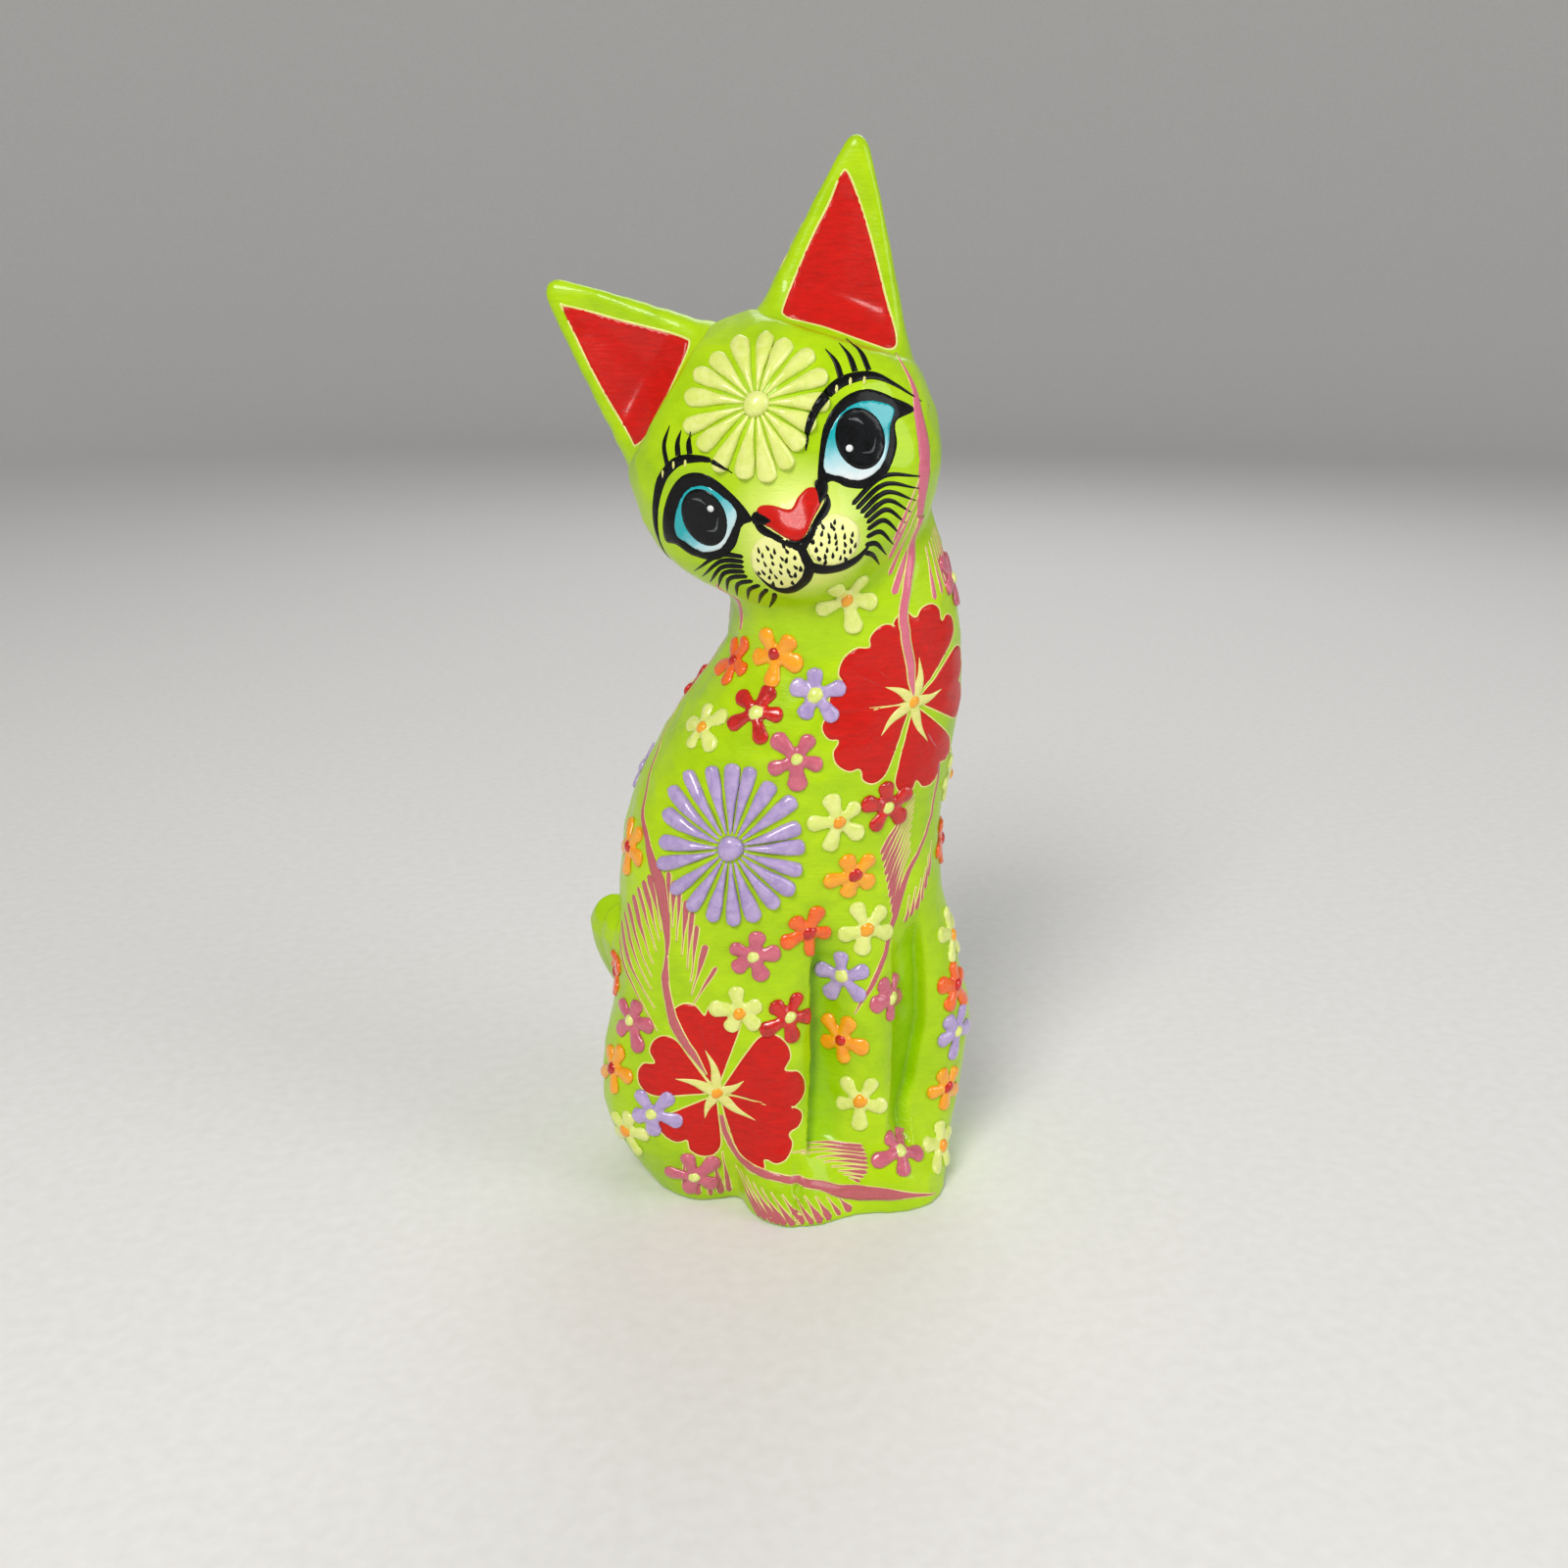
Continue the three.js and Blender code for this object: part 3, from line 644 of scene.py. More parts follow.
def carved_ear(ear, material):
    """A wedge with a scooped front, a rounded rim and a filled, flaring foot."""
    plane = ear_plane(ear)
    rows, columns = 64, 112
    points, faces = [], []
    waver = random.Random(ear["height"])
    turns = [waver.uniform(0, math.tau) for _ in range(4)]
    for row in range(rows + 1):
        share = row / rows
        tip = math.sqrt(max(0.0, 1 - max(0.0, (share - 0.955) / 0.045) ** 2))
        foot = max(0.0, 1 - share / 0.24) ** 2
        width = (ear["width"] / 2 * (1 - share) ** 0.93 + 1.4) * (0.2 + 0.8 * tip) + 1.6 * foot
        depth = (EAR_THICKNESS / 2 * (1 - share) ** 0.9 + 1.3) * (0.2 + 0.8 * tip) + 3.6 * foot
        rise = -4.0 + (ear["height"] + 4.3) * share
        for column in range(columns):
            angle = math.tau * column / columns
            across, forward = math.cos(angle), math.sin(angle)
            middle = max(0.0, 1 - across * across)
            fade = min(1.0, max(0.0, share - 0.06) * 4.5) * min(1.0, 3.5 * (1 - share))
            if forward > 0:
                forward *= 1 - EAR_HOLLOW * middle**0.8 * fade * 0.9
            knife = 0.22 * math.sin(5 * share * math.tau + turns[0])
            knife *= math.sin(3 * angle + turns[1])
            knife += 0.14 * math.sin(9 * share * math.tau + turns[2]) * math.cos(2 * angle + turns[3])
            size = 1 + knife * 0.045
            x = width * across * size + ear["side"] * ear["lean"] * share
            points.append(plane.at(x, rise, depth * forward * size - 0.5))
    for row in range(rows):
        for column in range(columns):
            a, b = row * columns + column, row * columns + (column + 1) % columns
            faces.append((a, a + columns, b + columns, b))
    faces.append(tuple(range(columns)))
    faces.append(tuple(rows * columns + k for k in reversed(range(columns))))
    obj = shown("carved_" + ear["name"], points, faces, material, "lime_paint", [ear["name"]])
    remeshed(obj, 0.45, 3)
    return obj


TAIL_FILL = [(2, -4, -0.5), (2, -4, -0.5)]  # steps from the tail to the trunk, which glue and paint fill


def carved_tail(material):
    """The tail bar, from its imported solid, with the hollow between it and the trunk filled."""
    obj = node_copy("tail", "carved_tail")
    for step in TAIL_FILL:
        copy = obj.data.copy()
        copy.transform(Matrix.Translation(Vector(step) * MM))
        filled = bmesh.new()
        filled.from_mesh(obj.data)
        filled.from_mesh(copy)
        filled.to_mesh(obj.data)
        filled.free()
        bpy.data.meshes.remove(copy)
    remeshed(obj, 0.45, 3)
    return dress(obj, material, "lime_paint", ["tail"])


# ---- Raised flowers ----

# The colour of the dot on a flower of each colour.
DOT_COLOUR = {
    "red": "yellow", "orange": "red", "amber": "red", "yellow": "amber", "lavender": "yellow",
    "pink": "yellow",
}


def packed_flower(name, petals):
    """Where a packed flower lies: its drawing plane, its radius and the angle of its first petal."""
    points = np.array([v.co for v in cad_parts[name].data.vertices]) / MM
    middle = Vector(points.mean(0))
    _, _, axes = np.linalg.svd(points - points.mean(0), full_matrices=False)
    out = Vector(axes[2])
    inside = trunk_middle(min(middle.z, 120)) if petals != 17 else HEAD_CENTRE
    if out.dot(middle - inside) < 0:
        out = -out
    place, _ = skin.hit(middle + out * 8, -out)
    plane = plane_at(place, out)
    steps = [Vector(p) - place for p in points]
    flat = np.array([(step.dot(plane.right), step.dot(plane.up)) for step in steps])
    radius = np.abs(flat).max(0)
    flat /= radius if petals > 5 else radius.max()
    sizes = np.hypot(*flat.T)
    tips = flat[sizes > 0.93 * sizes.max()]
    turn = np.exp(1j * petals * np.arctan2(tips[:, 1], tips[:, 0])).sum()
    return plane, radius.max(), float(np.angle(turn)) / petals


def raised_flower(name, colour, chance, plane, radius, phase, replaced=()):
    """Five clubbed petals of paste that run together, and a dot in another colour."""
    petals = Layer(name, materials[colour + "_paste"], colour + "_paste")
    for petal in range(5):
        angle = phase + math.tau * petal / 5 + chance.uniform(-0.09, 0.09)
        length = radius * chance.uniform(0.92, 1.26)
        bend = chance.uniform(-0.5, 0.5)
        line = []
        for share in (0.08, 0.4, 0.7, 1.0):
            turn = angle + bend * 0.16 * share
            line.append((length * share * math.cos(turn), length * share * math.sin(turn)))
        broad = radius * chance.uniform(0.33, 0.42)
        widths = [broad * 0.66, broad * 0.62, broad * 0.82, broad, broad * 0.97]
        petals.stroke(plane.drop, line, widths, FLOWER_DEPTH, step=0.4, domed=True, blunt=(0.6, broad))
    obj = petals.make(replaced)
    remeshed(obj, 0.3, 3)
    dot = dots[DOT_COLOUR[colour]]
    size = radius * chance.uniform(0.26, 0.34)
    dot.dome(plane, chance.uniform(-0.3, 0.3), chance.uniform(-0.3, 0.3), size, FLOWER_DEPTH + 0.5)


# Each daisy: its petals' reach, their length up and down, how much shorter they are round one direction, where
# they start as a share of their length, how fat they are, its dot, and if dark olive lines of painted shade
# lie between them.
CHEST_DAISY = {
    "radius": 14.8, "tall": 1.16, "short": 0, "short_at": 0, "start": 0.17, "fat": 1.6, "dot": 2.7,
    "shade_lines": True,
}
FOREHEAD_DAISY = {
    "radius": 13.3, "tall": 1.0, "short": 0.2, "short_at": -0.5, "start": 0.14, "fat": 1.75, "dot": 2.5,
    "shade_lines": False,
}


def raised_daisy(name, colour, petals, shape, chance):
    """Long drops of paste round a dot, each thin at its inner end and fat at its outer end."""
    plane, radius, phase = packed_flower(name, petals)
    layer = Layer("raised_" + name, materials[colour + "_paste"], colour + "_paste")
    for petal in range(petals):
        angle = phase + math.tau * petal / petals + chance.uniform(-0.04, 0.04)
        length = shape["radius"] * chance.uniform(0.93, 1.03)
        length *= 1 - shape["short"] * bell(math.remainder(angle - shape["short_at"], math.tau), 0.45)
        tall = length * shape["tall"]
        shares = (shape["start"], 0.5, 0.8, 1.0)
        line = [(length * s * math.cos(angle), tall * s * math.sin(angle)) for s in shares]
        fat = shape["fat"] * chance.uniform(0.88, 1.1)
        widths = [0.18, 0.35 * fat, 0.62 * fat, 0.92 * fat, fat, 0.95 * fat]
        layer.stroke(plane.drop, line, widths, DAISY_DEPTH, step=0.4, domed=True, blunt=(0.3, fat))
        # Painted shade: a dark olive line where the petals' inner ends meet.
        edge = angle + math.pi / petals
        shade_line = [(radius * s * math.cos(edge), radius * s * math.sin(edge)) for s in (0.2, 0.4, 0.55)]
        if shape["shade_lines"]:
            layers["crease_shade"].stroke(plane.drop, shade_line, [0.09, 0.12, 0.03], 0.05)
    layer.dome(plane, 0, 0, shape["dot"], DAISY_DEPTH + 0.5)
    return layer.make([name])


# ---- Painted motifs ----

# One petal of a hibiscus, in shares of its length: along it and across it, with three round lobes or two.
PETALS = {
    3: [(0.07, -0.03), (0.3, -0.22), (0.52, -0.4), (0.7, -0.52), (0.84, -0.5), (0.9, -0.37), (0.86, -0.24),
        (0.97, -0.17), (1.02, 0.0), (0.97, 0.14), (0.86, 0.21), (0.93, 0.3), (0.9, 0.46), (0.75, 0.52),
        (0.54, 0.4), (0.3, 0.22), (0.07, 0.03)],
    2: [(0.07, -0.03), (0.3, -0.2), (0.55, -0.38), (0.76, -0.5), (0.93, -0.46), (1.01, -0.28),
        (0.98, -0.1), (0.87, 0.0), (0.98, 0.1), (1.0, 0.28), (0.92, 0.46), (0.75, 0.5), (0.55, 0.38),
        (0.3, 0.2), (0.07, 0.03)],
}

# Each hibiscus: its heading and height on the trunk, or its place on the back of the head, then for each
# petal its turn from upright, length and breadth, the length of the star's ray on it, and its lobes.
HIBISCUS = [
    {"at": (32, 107), "petals": [
        (-54, 16, 1.15, 6.8, 3), (12, 18.5, 0.8, 8.6, 3), (82, 15.5, 0.95, 6.8, 2), (162, 18.5, 0.85, 9.1, 3),
        (-124, 18.5, 0.85, 9, 3)]},
    {"at": (-40, 27), "petals": [
        (-66, 16, 0.85, 8.9, 2), (-8, 19.5, 0.72, 9.6, 2), (68, 17, 1.0, 6.1, 2), (133, 19, 0.85, 9.7, 3),
        (-150, 14.5, 0.95, 6.3, 2)]},
    {"at": (178, 86), "petals": [
        (-70, 15, 1, 7, 3), (2, 16, 1, 8, 2), (74, 15, 1, 7, 3), (146, 16, 1, 8.5, 2), (-144, 15, 1, 7, 3)]},
    {"at": (12, 2), "head": True, "petals": [
        (-70, 13, 1, 7, 2), (2, 14, 1, 8, 3), (74, 13, 1, 7, 2), (146, 14, 1, 8, 3), (-144, 13, 1, 7, 2)]},
    {"at": (-20, 31), "head": True, "petals": [
        (-75, 9, 1, 5, 2), (-2, 11, 1, 6, 3), (70, 10, 1, 5, 2), (142, 10, 1, 5, 3), (-146, 10, 1, 5, 2)]},
    {"at": (19, 27), "head": True, "petals": [
        (-70, 9, 1, 5, 3), (6, 9, 1, 5, 2), (76, 10, 1, 5, 3), (146, 9, 1, 5, 2), (-142, 10, 1, 5, 2)]},
    {"at": (140, 34), "petals": [
        (-60, 14, 1, 7, 2), (10, 15, 1, 8, 3), (82, 14, 1, 7, 2), (150, 15, 1, 8, 3), (-136, 14, 1, 7, 2)]},
]


def edged(drop, outline, widths, height):
    """A pale line round a patch."""
    line = np.vstack([outline, outline[:1]])[::3]
    layers["cream"].stroke(drop, line, widths, height)


def hibiscus(flower):
    drop = head_back.drop if "head" in flower else trunk_drop
    spot = flower["at"]
    place, _ = drop(*spot)
    plane = plane_at(place, smooth_out(drop, *spot, 7), 14)
    for turn, length, breadth, ray, lobes in flower["petals"]:
        angle = math.radians(90 - turn)
        along = Vector((math.cos(angle), math.sin(angle)))
        across = Vector((along.y, -along.x))
        corners = [along * (a * length) + across * (b * length * breadth) for a, b in PETALS[lobes]]
        outline, _ = catmull([tuple(c) for c in corners], 90, closed=True)
        layers["red"].patch(plane.drop, outline, 0.12, pitch=0.8)
        edged(plane.drop, outline, [0.17, 0.2, 0.15, 0.2], 0.13)
        for side in (-0.11, 0.11):
            aside = side * length * breadth
            vein = [tuple(along * (length * s) + across * (aside * s)) for s in (0.35, 0.6, 0.8)]
            layers["dark_red"].stroke(plane.drop, vein, [0.05, 0.12, 0.04], 0.03, 0.11)
        tip = angle + 0.1
        bend = (0.55 * ray * math.cos(angle - 0.05), 0.55 * ray * math.sin(angle - 0.05))
        end = (ray * math.cos(tip), ray * math.sin(tip))
        layers["cream"].stroke(plane.drop, [(0, 0), bend, end], [1.2, 1.0, 0.5, 0.05], 0.12, 0.14, step=0.4)
    dots["amber"].dome(plane, 0, 0, 1.35, 0.6)


def fan(inner, outer, count, wide, drop=None, colour="stem"):
    """Feather strokes between two lines, hair-thin at the inner one and wide at the outer one."""
    starts, _ = catmull(inner, count)
    ends, _ = catmull(outer, count)
    for i, (start, end) in enumerate(zip(starts, ends)):
        middle = (start + end) / 2
        width = wide * (0.8 + 0.2 * math.sin(2.4 * i))
        line = [start, middle, end]
        widths = [0.04, 0.1, 0.22 * width, 0.5 * width, 0.85 * width, width, width]
        layers["cream"].stroke(drop or trunk_drop, line, [w + 0.22 for w in widths], 0.05, blunt=(0, width))
        layers[colour].stroke(drop or trunk_drop, line, widths, 0.09, 0.02, blunt=(0, width))


def stem(line, widths, drop=None, colour="stem", lift=0.0):
    layers["cream"].stroke(drop or trunk_drop, line, [w + 0.18 for w in widths], 0.05, lift)
    layers[colour].stroke(drop or trunk_drop, line, widths, 0.1, lift + 0.02)


def motifs():
    """Stems and feather fans, placed by heading and height on the trunk, and by right and up on the head."""
    # From the left cheek down the neck to the upper hibiscus.
    stem([(25.6, 12), (26.6, 6), (26, 1), (25, -5.6), (23, -10.8), (20.5, -16.4)],
         [0.15, 0.7, 1.4, 2.0, 1.7, 1.1], head.drop, "rose")
    stem([(44, 142), (40, 135.3), (29, 129), (20.5, 122), (25, 115), (28, 111), (31, 108)],
         [1.1, 0.95, 0.85, 0.9, 0.9, 0.7, 0.2], None, "rose", 0.14)
    fan([(23.6, -8.5), (22.4, -12), (20.6, -15.5), (18.6, -19)],
        [(14.6, -18.6), (12.2, -22.6), (11.4, -27), (11.2, -33)], 5, 0.75, head.drop, "rose")
    fan([(68, 139), (64, 138.5), (58, 137.5), (51, 136)], [(69, 131), (63, 129), (56, 127.5), (43, 126)],
        7, 0.6, trunk_drop, "rose")
    # A loose petal under the right cheek.
    stem([(-62, 130), (-67, 127), (-71, 123.5), (-72, 119.5)], [0.1, 0.9, 1.1, 0.3], None, "rose")
    # From the upper hibiscus down behind the left foreleg.
    stem([(36, 104), (46, 99), (54, 95), (59, 89), (60, 84), (59, 79), (55, 74.5), (51, 70), (48, 65),
          (45, 60), (41, 55), (34, 50), (29, 46), (26, 43)],
         [0.4, 0.6, 0.5, 0.5, 0.45, 0.5, 0.55, 0.7, 0.95, 0.75, 0.65, 0.6, 0.3, 0.06])
    fan([(46, 88), (49, 83), (51, 76)], [(36, 76.5), (41, 70), (45, 63)], 9, 0.65)
    fan([(64, 76), (59, 70), (53, 66)], [(62, 68.5), (57, 63), (52, 60)], 6, 0.6)
    # Down the right flank to the lower hibiscus.
    stem([(-98, 99), (-88, 94), (-81, 88), (-75, 83), (-68, 79), (-64, 75), (-61, 71.5), (-59, 66),
          (-58, 60), (-58.5, 55)],
         [0.1, 0.4, 0.5, 0.65, 0.85, 1.2, 1.5, 1.2, 0.7, 0.2])
    stem([(-58.5, 56), (-59, 51), (-58, 46), (-55, 41), (-49, 35.6), (-44, 31)],
         [0.3, 0.8, 0.85, 1.0, 0.8, 0.1], lift=0.14)
    fan([(-57, 65), (-55, 60), (-52, 55), (-50, 50), (-50.5, 45)],
        [(-57, 74), (-53, 71), (-49, 67.5), (-46, 62.5), (-40, 54.5)], 8, 0.72)
    fan([(-60, 61), (-62, 57), (-64, 52), (-64, 47), (-61, 39.5)],
        [(-65, 72.5), (-70, 69.5), (-76, 65.5), (-82, 61), (-87, 56)], 8, 0.95)
    # From the lower hibiscus along the paws.
    stem([(-39, 22), (-38, 17), (-33, 12.4), (-21, 10.8), (-8, 9.9), (5, 8), (14, 6), (22, 5.2), (31, 4.6),
          (39, 3.6), (48, 1.8)],
         [0.45, 0.6, 0.75, 0.8, 0.8, 0.95, 1.25, 1.6, 1.3, 0.5, 0.06], lift=0.14)
    fan([(-6, 14.8), (2, 13.6), (9, 11.6), (15, 9.6), (19, 8.2)],
        [(27, 14.2), (27.5, 12.6), (27, 11), (26, 9.2), (23, 7.4)], 9, 0.5)
    fan([(-35, 9.5), (-27, 8.6), (-18, 7.6), (-8, 7.2), (2, 6.4), (13, 5)],
        [(-20, 0.9), (-14, 0.7), (-8, 0.7), (0, 0.7), (8, 0.7), (18, 1.4)], 12, 0.95)
    fan([(-52, 13), (-46, 12), (-40, 13)], [(-56, 2), (-47, 1.5), (-40, 2)], 5, 0.9)
    # Over the back, in the same manner.
    stem([(178, 86), (170, 98), (160, 108), (165, 118), (178, 126)], [0.3, 0.6, 0.7, 0.6, 0.1])
    fan([(172, 99), (168, 106), (168, 113)], [(188, 103), (184, 112), (180, 121)], 7, 0.8)
    fan([(164, 98), (158, 105), (162, 114)], [(148, 104), (144, 112), (150, 122)], 7, 0.8)
    stem([(178, 82), (190, 70), (204, 60), (206, 48), (196, 40)], [0.3, 0.7, 0.9, 0.7, 0.1])
    fan([(192, 66), (199, 59), (202, 50)], [(178, 62), (184, 54), (188, 46)], 7, 0.8)
    fan([(200, 66), (207, 58), (207, 48)], [(216, 68), (222, 58), (220, 46)], 7, 0.8)
    stem([(140, 36), (128, 48), (112, 58), (104, 68), (106, 80), (114, 92)], [0.3, 0.6, 0.8, 0.8, 0.6, 0.08])
    fan([(124, 50), (112, 58), (106, 66)], [(134, 60), (122, 68), (116, 78)], 7, 0.8)
    fan([(118, 52), (106, 59), (102, 68)], [(108, 44), (94, 52), (90, 62)], 7, 0.8)
    stem([(-98, 99), (-106, 106), (-110, 114), (-104, 122)], [0.1, 0.5, 0.6, 0.1])
    # On the back of the head.
    stem([(-3, 12), (-8, 4), (-9, -5), (-5, -13), (1, -20)], [0.1, 0.5, 0.8, 0.7, 0.1], head_back.drop)
    fan([(-8, 4), (-9, -3), (-7, -9)], [(-16, 10), (-20, 2), (-19, -7)], 8, 0.8, head_back.drop)
    fan([(-6, 3), (-6, -4), (-4, -10)], [(1, 8), (4, -1), (5, -10)], 8, 0.8, head_back.drop)


# ---- The face, by right and up of the head's middle ----

EYES = [
    {   # the cat's right eye
        "black": [(-24.8, -4.8), (-23.6, -1.0), (-20.5, 3.2), (-16.5, 5.6), (-12.4, 4.6), (-9.2, 0.2),
                  (-7.2, -5.2), (-9.4, -6.0), (-12.4, -9.4), (-16.6, -10.6), (-20.6, -8.6), (-22.8, -6.0)],
        "ball": [(-22.0, -3.6), (-20.2, 0.0), (-17.2, 2.8), (-13.8, 3.0), (-11.2, 0.6), (-9.4, -3.4),
                 (-11.6, -6.4), (-14.8, -8.8), (-18.4, -8.4), (-20.8, -6.0)],
        "pupil": (-15.5, -2.6, 4.1, 5.3), "glint": (-13.7, -1.4), "wash": (-0.45, 0.9),
        "brow": [(-26.4, -9.0), (-26.2, -4.2), (-24.4, 0.9), (-21, 5.8), (-17.3, 8), (-14, 7.9), (-10.3, 6.3),
                 (-7.7, 3.3)],
        "lashes": [[(-18.7, 8.2), (-18, 11.6), (-15.8, 14.4)], [(-16.1, 9.1), (-15.4, 11.2), (-14, 13)],
                   [(-13.9, 8.7), (-13.4, 10.6), (-12.3, 12.3)]],
    },
    {   # the cat's left eye
        "black": [(25.6, 2.0), (22.6, 5.6), (18.8, 8.6), (14.4, 8.6), (10.4, 6.0), (7.8, 1.6), (5.7, -3.8),
                  (8.2, -3.9), (10.4, -6.0), (13.8, -7.4), (17.6, -6.2), (20.6, -2.6), (21.8, 1.4)],
        "ball": [(22.2, 3.6), (19.8, 6.0), (16.4, 7.1), (12.6, 6.0), (9.6, 3.0), (7.5, -1.6), (9.6, -3.6),
                 (12.8, -5.7), (16.6, -5.0), (19.2, -2.2), (20.5, 1.0)],
        "pupil": (15.0, 1.1, 4.2, 5.4), "glint": (12.7, 0.3), "wash": (0.25, 0.95),
        "brow": [(5.7, 2.6), (7.2, 5.8), (9.9, 8.8), (13.8, 10.9), (17.1, 11.2), (20.9, 10.1), (23.9, 7.1),
                 (27.2, 2.7)],
        "lashes": [[(15.3, 11.7), (15.3, 14.6), (14.3, 17.3)], [(17.9, 12), (17.8, 14.8), (16.8, 17.4)],
                   [(20.2, 11.3), (19.8, 14.8), (18, 17.5)]],
    },
]
NOSE = [(-6, -4.4), (-4.9, -3.6), (-2.9, -4.1), (-0.1, -5.7), (1.8, -4.3), (4.0, -3.4), (5.5, -4.4),
        (5.4, -6.4), (3.2, -8.4), (1.2, -10.4), (-0.5, -11.0), (-2.2, -10.0), (-4.4, -7.6), (-6, -6)]
PADS = [(-5.5, -13.9, 4.9, 5.2), (5.2, -13.4, 4.6, 4.5)]
PAD_DABS = 28
# Each group of cheek lines: where its lines start, bend and end.
CHEEKS = [
    [[(-11.2, -11.3), (-11.9, -15), (-8.4, -19.6)], [(-15.8, -10.2), (-15.6, -15), (-9.4, -21.4)],
     [(-21.8, -11.8), (-17.6, -17.6), (-11, -22.7)]],
    [[(10, -9), (11.3, -13), (9.2, -17.8)], [(16.8, -6.8), (15.4, -12.6), (10.4, -19.4)],
     [(23.4, -9.6), (17.8, -16.4), (10.8, -21.8)]],
]
EAR_PANELS = [
    [(-29.2, 39.4), (-28.2, 40.0), (-20.1, 34.5), (-14.7, 31), (-9.8, 27.6), (-9.2, 26), (-12.7, 22.2),
     (-20.4, 15), (-24.6, 12.7), (-25.6, 14.5), (-28, 26.7)],
    [(26, 43.8), (27.6, 43.4), (27.8, 33.3), (27, 22), (26.6, 14.6), (25, 12.9), (21.6, 15.3), (15.4, 20.3),
     (12, 22.6), (9, 24.8), (9.6, 27), (17.3, 35.3), (22.6, 40.2)],
]


def oval(x, y, half_width, half_height, count=40):
    turns = np.linspace(0, math.tau, count, endpoint=False)
    return np.column_stack([x + half_width * np.cos(turns), y + half_height * np.sin(turns)])


def eyes():
    for eye, eyeball in zip(EYES, eyeballs):
        outline, _ = catmull(eye["black"], 70, closed=True)
        layers["black"].patch(head.drop, outline, 0.12, pitch=0.6)
        outline, _ = catmull(eye["ball"], 60, closed=True)
        eyeball.patch(head.drop, outline, 0.1, 0.1, pitch=0.6)
        x, y, width, height = eye["pupil"]
        layers["pupil"].patch(head.drop, oval(x, y, width, height), 0.12, 0.2, pitch=0.6)
        glint = oval(*eye["glint"], 0.62, 0.62, 20)
        layers["white"].patch(head.drop, glint, 0.08, 0.33, pitch=0.4, soft=0.3)
        glow = [(x - 0.2 * width, y + 0.72 * height), (x + 0.1 * width, y + 0.62 * height),
                (x + 0.3 * width, y + 0.4 * height)]
        layers["grey"].stroke(head.drop, glow, [0.1, 0.35, 0.1], 0.05, 0.31)
        shade = [(x - 0.1 * width, y - 0.45 * height), (x + 0.3 * width, y - 0.5 * height),
                 (x + 0.6 * width, y - 0.15 * height)]
        layers["grey"].stroke(head.drop, shade, [0.08, 0.3, 0.08], 0.04, 0.31)
        layers["black"].stroke(head.drop, eye["brow"], [0.12, 0.55, 0.85, 1.0, 1.0, 0.8, 0.45, 0.1], 0.16)
        for lash in eye["lashes"]:
            layers["black"].stroke(head.drop, lash, [0.6, 0.6, 0.4, 0.08], 0.14, 0.02)
            x, y = lash[0]
            dash = [(x - 1.6, y - 1.9), (x - 1.1, y - 0.7)]
            layers["cream"].stroke(head.drop, dash, [0.1, 0.3, 0.2], 0.08, 0.14, step=0.3)


def nose_and_mouth():
    def black(line, widths, height, **settings):
        layers["black"].stroke(head.drop, line, widths, height, **settings)

    outline, _ = catmull(NOSE, 60, closed=True)
    layers["red"].patch(head.drop, outline, 0.2, 0.12, pitch=0.5)
    black([(-6.9, -5.8), (-6.2, -7.3), (-4.2, -9.4), (-2, -11.3), (-0.5, -12), (1.4, -11.4), (3.6, -9.4),
           (6, -7.4), (6.6, -5.6)], [0.3, 0.85, 0.85, 0.9, 1.1, 0.9, 0.85, 0.8, 0.3], 0.18)
    for nostril in ([(-7.0, -4.8), (-5.6, -5.8), (-3.8, -6.6)], [(6.2, -2.6), (6.0, -4.6), (4.9, -6.6)]):
        black(nostril, [1.0, 1.2, 0.9, 0.1], 0.12, lift=0.3, step=0.3, blunt=(0.9, 0))
    black([(-0.5, -11.5), (-0.4, -14), (-0.2, -16.6)], [1.0, 0.95, 1.1], 0.2)
    black([(-0.2, -16.2), (-2.2, -18.6), (-5.8, -19.8), (-8.4, -18.2), (-10.2, -14.6)],
          [1.1, 1.1, 1.0, 0.7, 0.15], 0.2)
    black([(-0.2, -16.2), (1.6, -17.6), (4.4, -18.6), (7.6, -18.5), (10.2, -17.2)],
          [1.1, 1.2, 1.1, 0.9, 0.3], 0.2)


def muzzle():
    """The speckled pads, and the lines that spread over the cheeks beside them."""
    speckle = random.Random(3)
    for x, y, width, height in PADS:
        layers["pad"].patch(head.drop, oval(x, y, width, height), 0.1, 0.03, pitch=0.7)
        for i in range(PAD_DABS):
            away = 0.86 * math.sqrt((i + 0.5) / PAD_DABS)
            turn = 2.4 * i + speckle.uniform(-0.2, 0.2)
            px, py = x + width * away * math.cos(turn), y + height * away * math.sin(turn)
            lean, size = speckle.uniform(0.9, 1.9), speckle.uniform(0.9, 1.3)
            dab = [(px, py), (px - size * math.cos(lean), py - size * math.sin(lean))]
            layers["black"].stroke(head.drop, dab, [0.1, 0.3, 0.4, 0.34], 0.08, 0.12, 0.22, blunt=(0, 0.35))
    for cheek in CHEEKS:
        for a, b, c in zip(*[catmull(group, 9)[0] for group in cheek]):
            line = [a, b + np.array([0.0, 0.25]), c]
            layers["black"].stroke(head.drop, line, [0.45, 0.55, 0.48, 0.34, 0.1], 0.12, blunt=(0.4, 0))


def ear_panels():
    for panel in EAR_PANELS:
        outline, _ = catmull(panel, 110, closed=True)
        layers["red"].patch(head.drop, outline, 0.12, 0.0, pitch=0.8)
        edged(head.drop, outline, [0.2, 0.26, 0.2, 0.24], 0.14)


# ---- Building ----

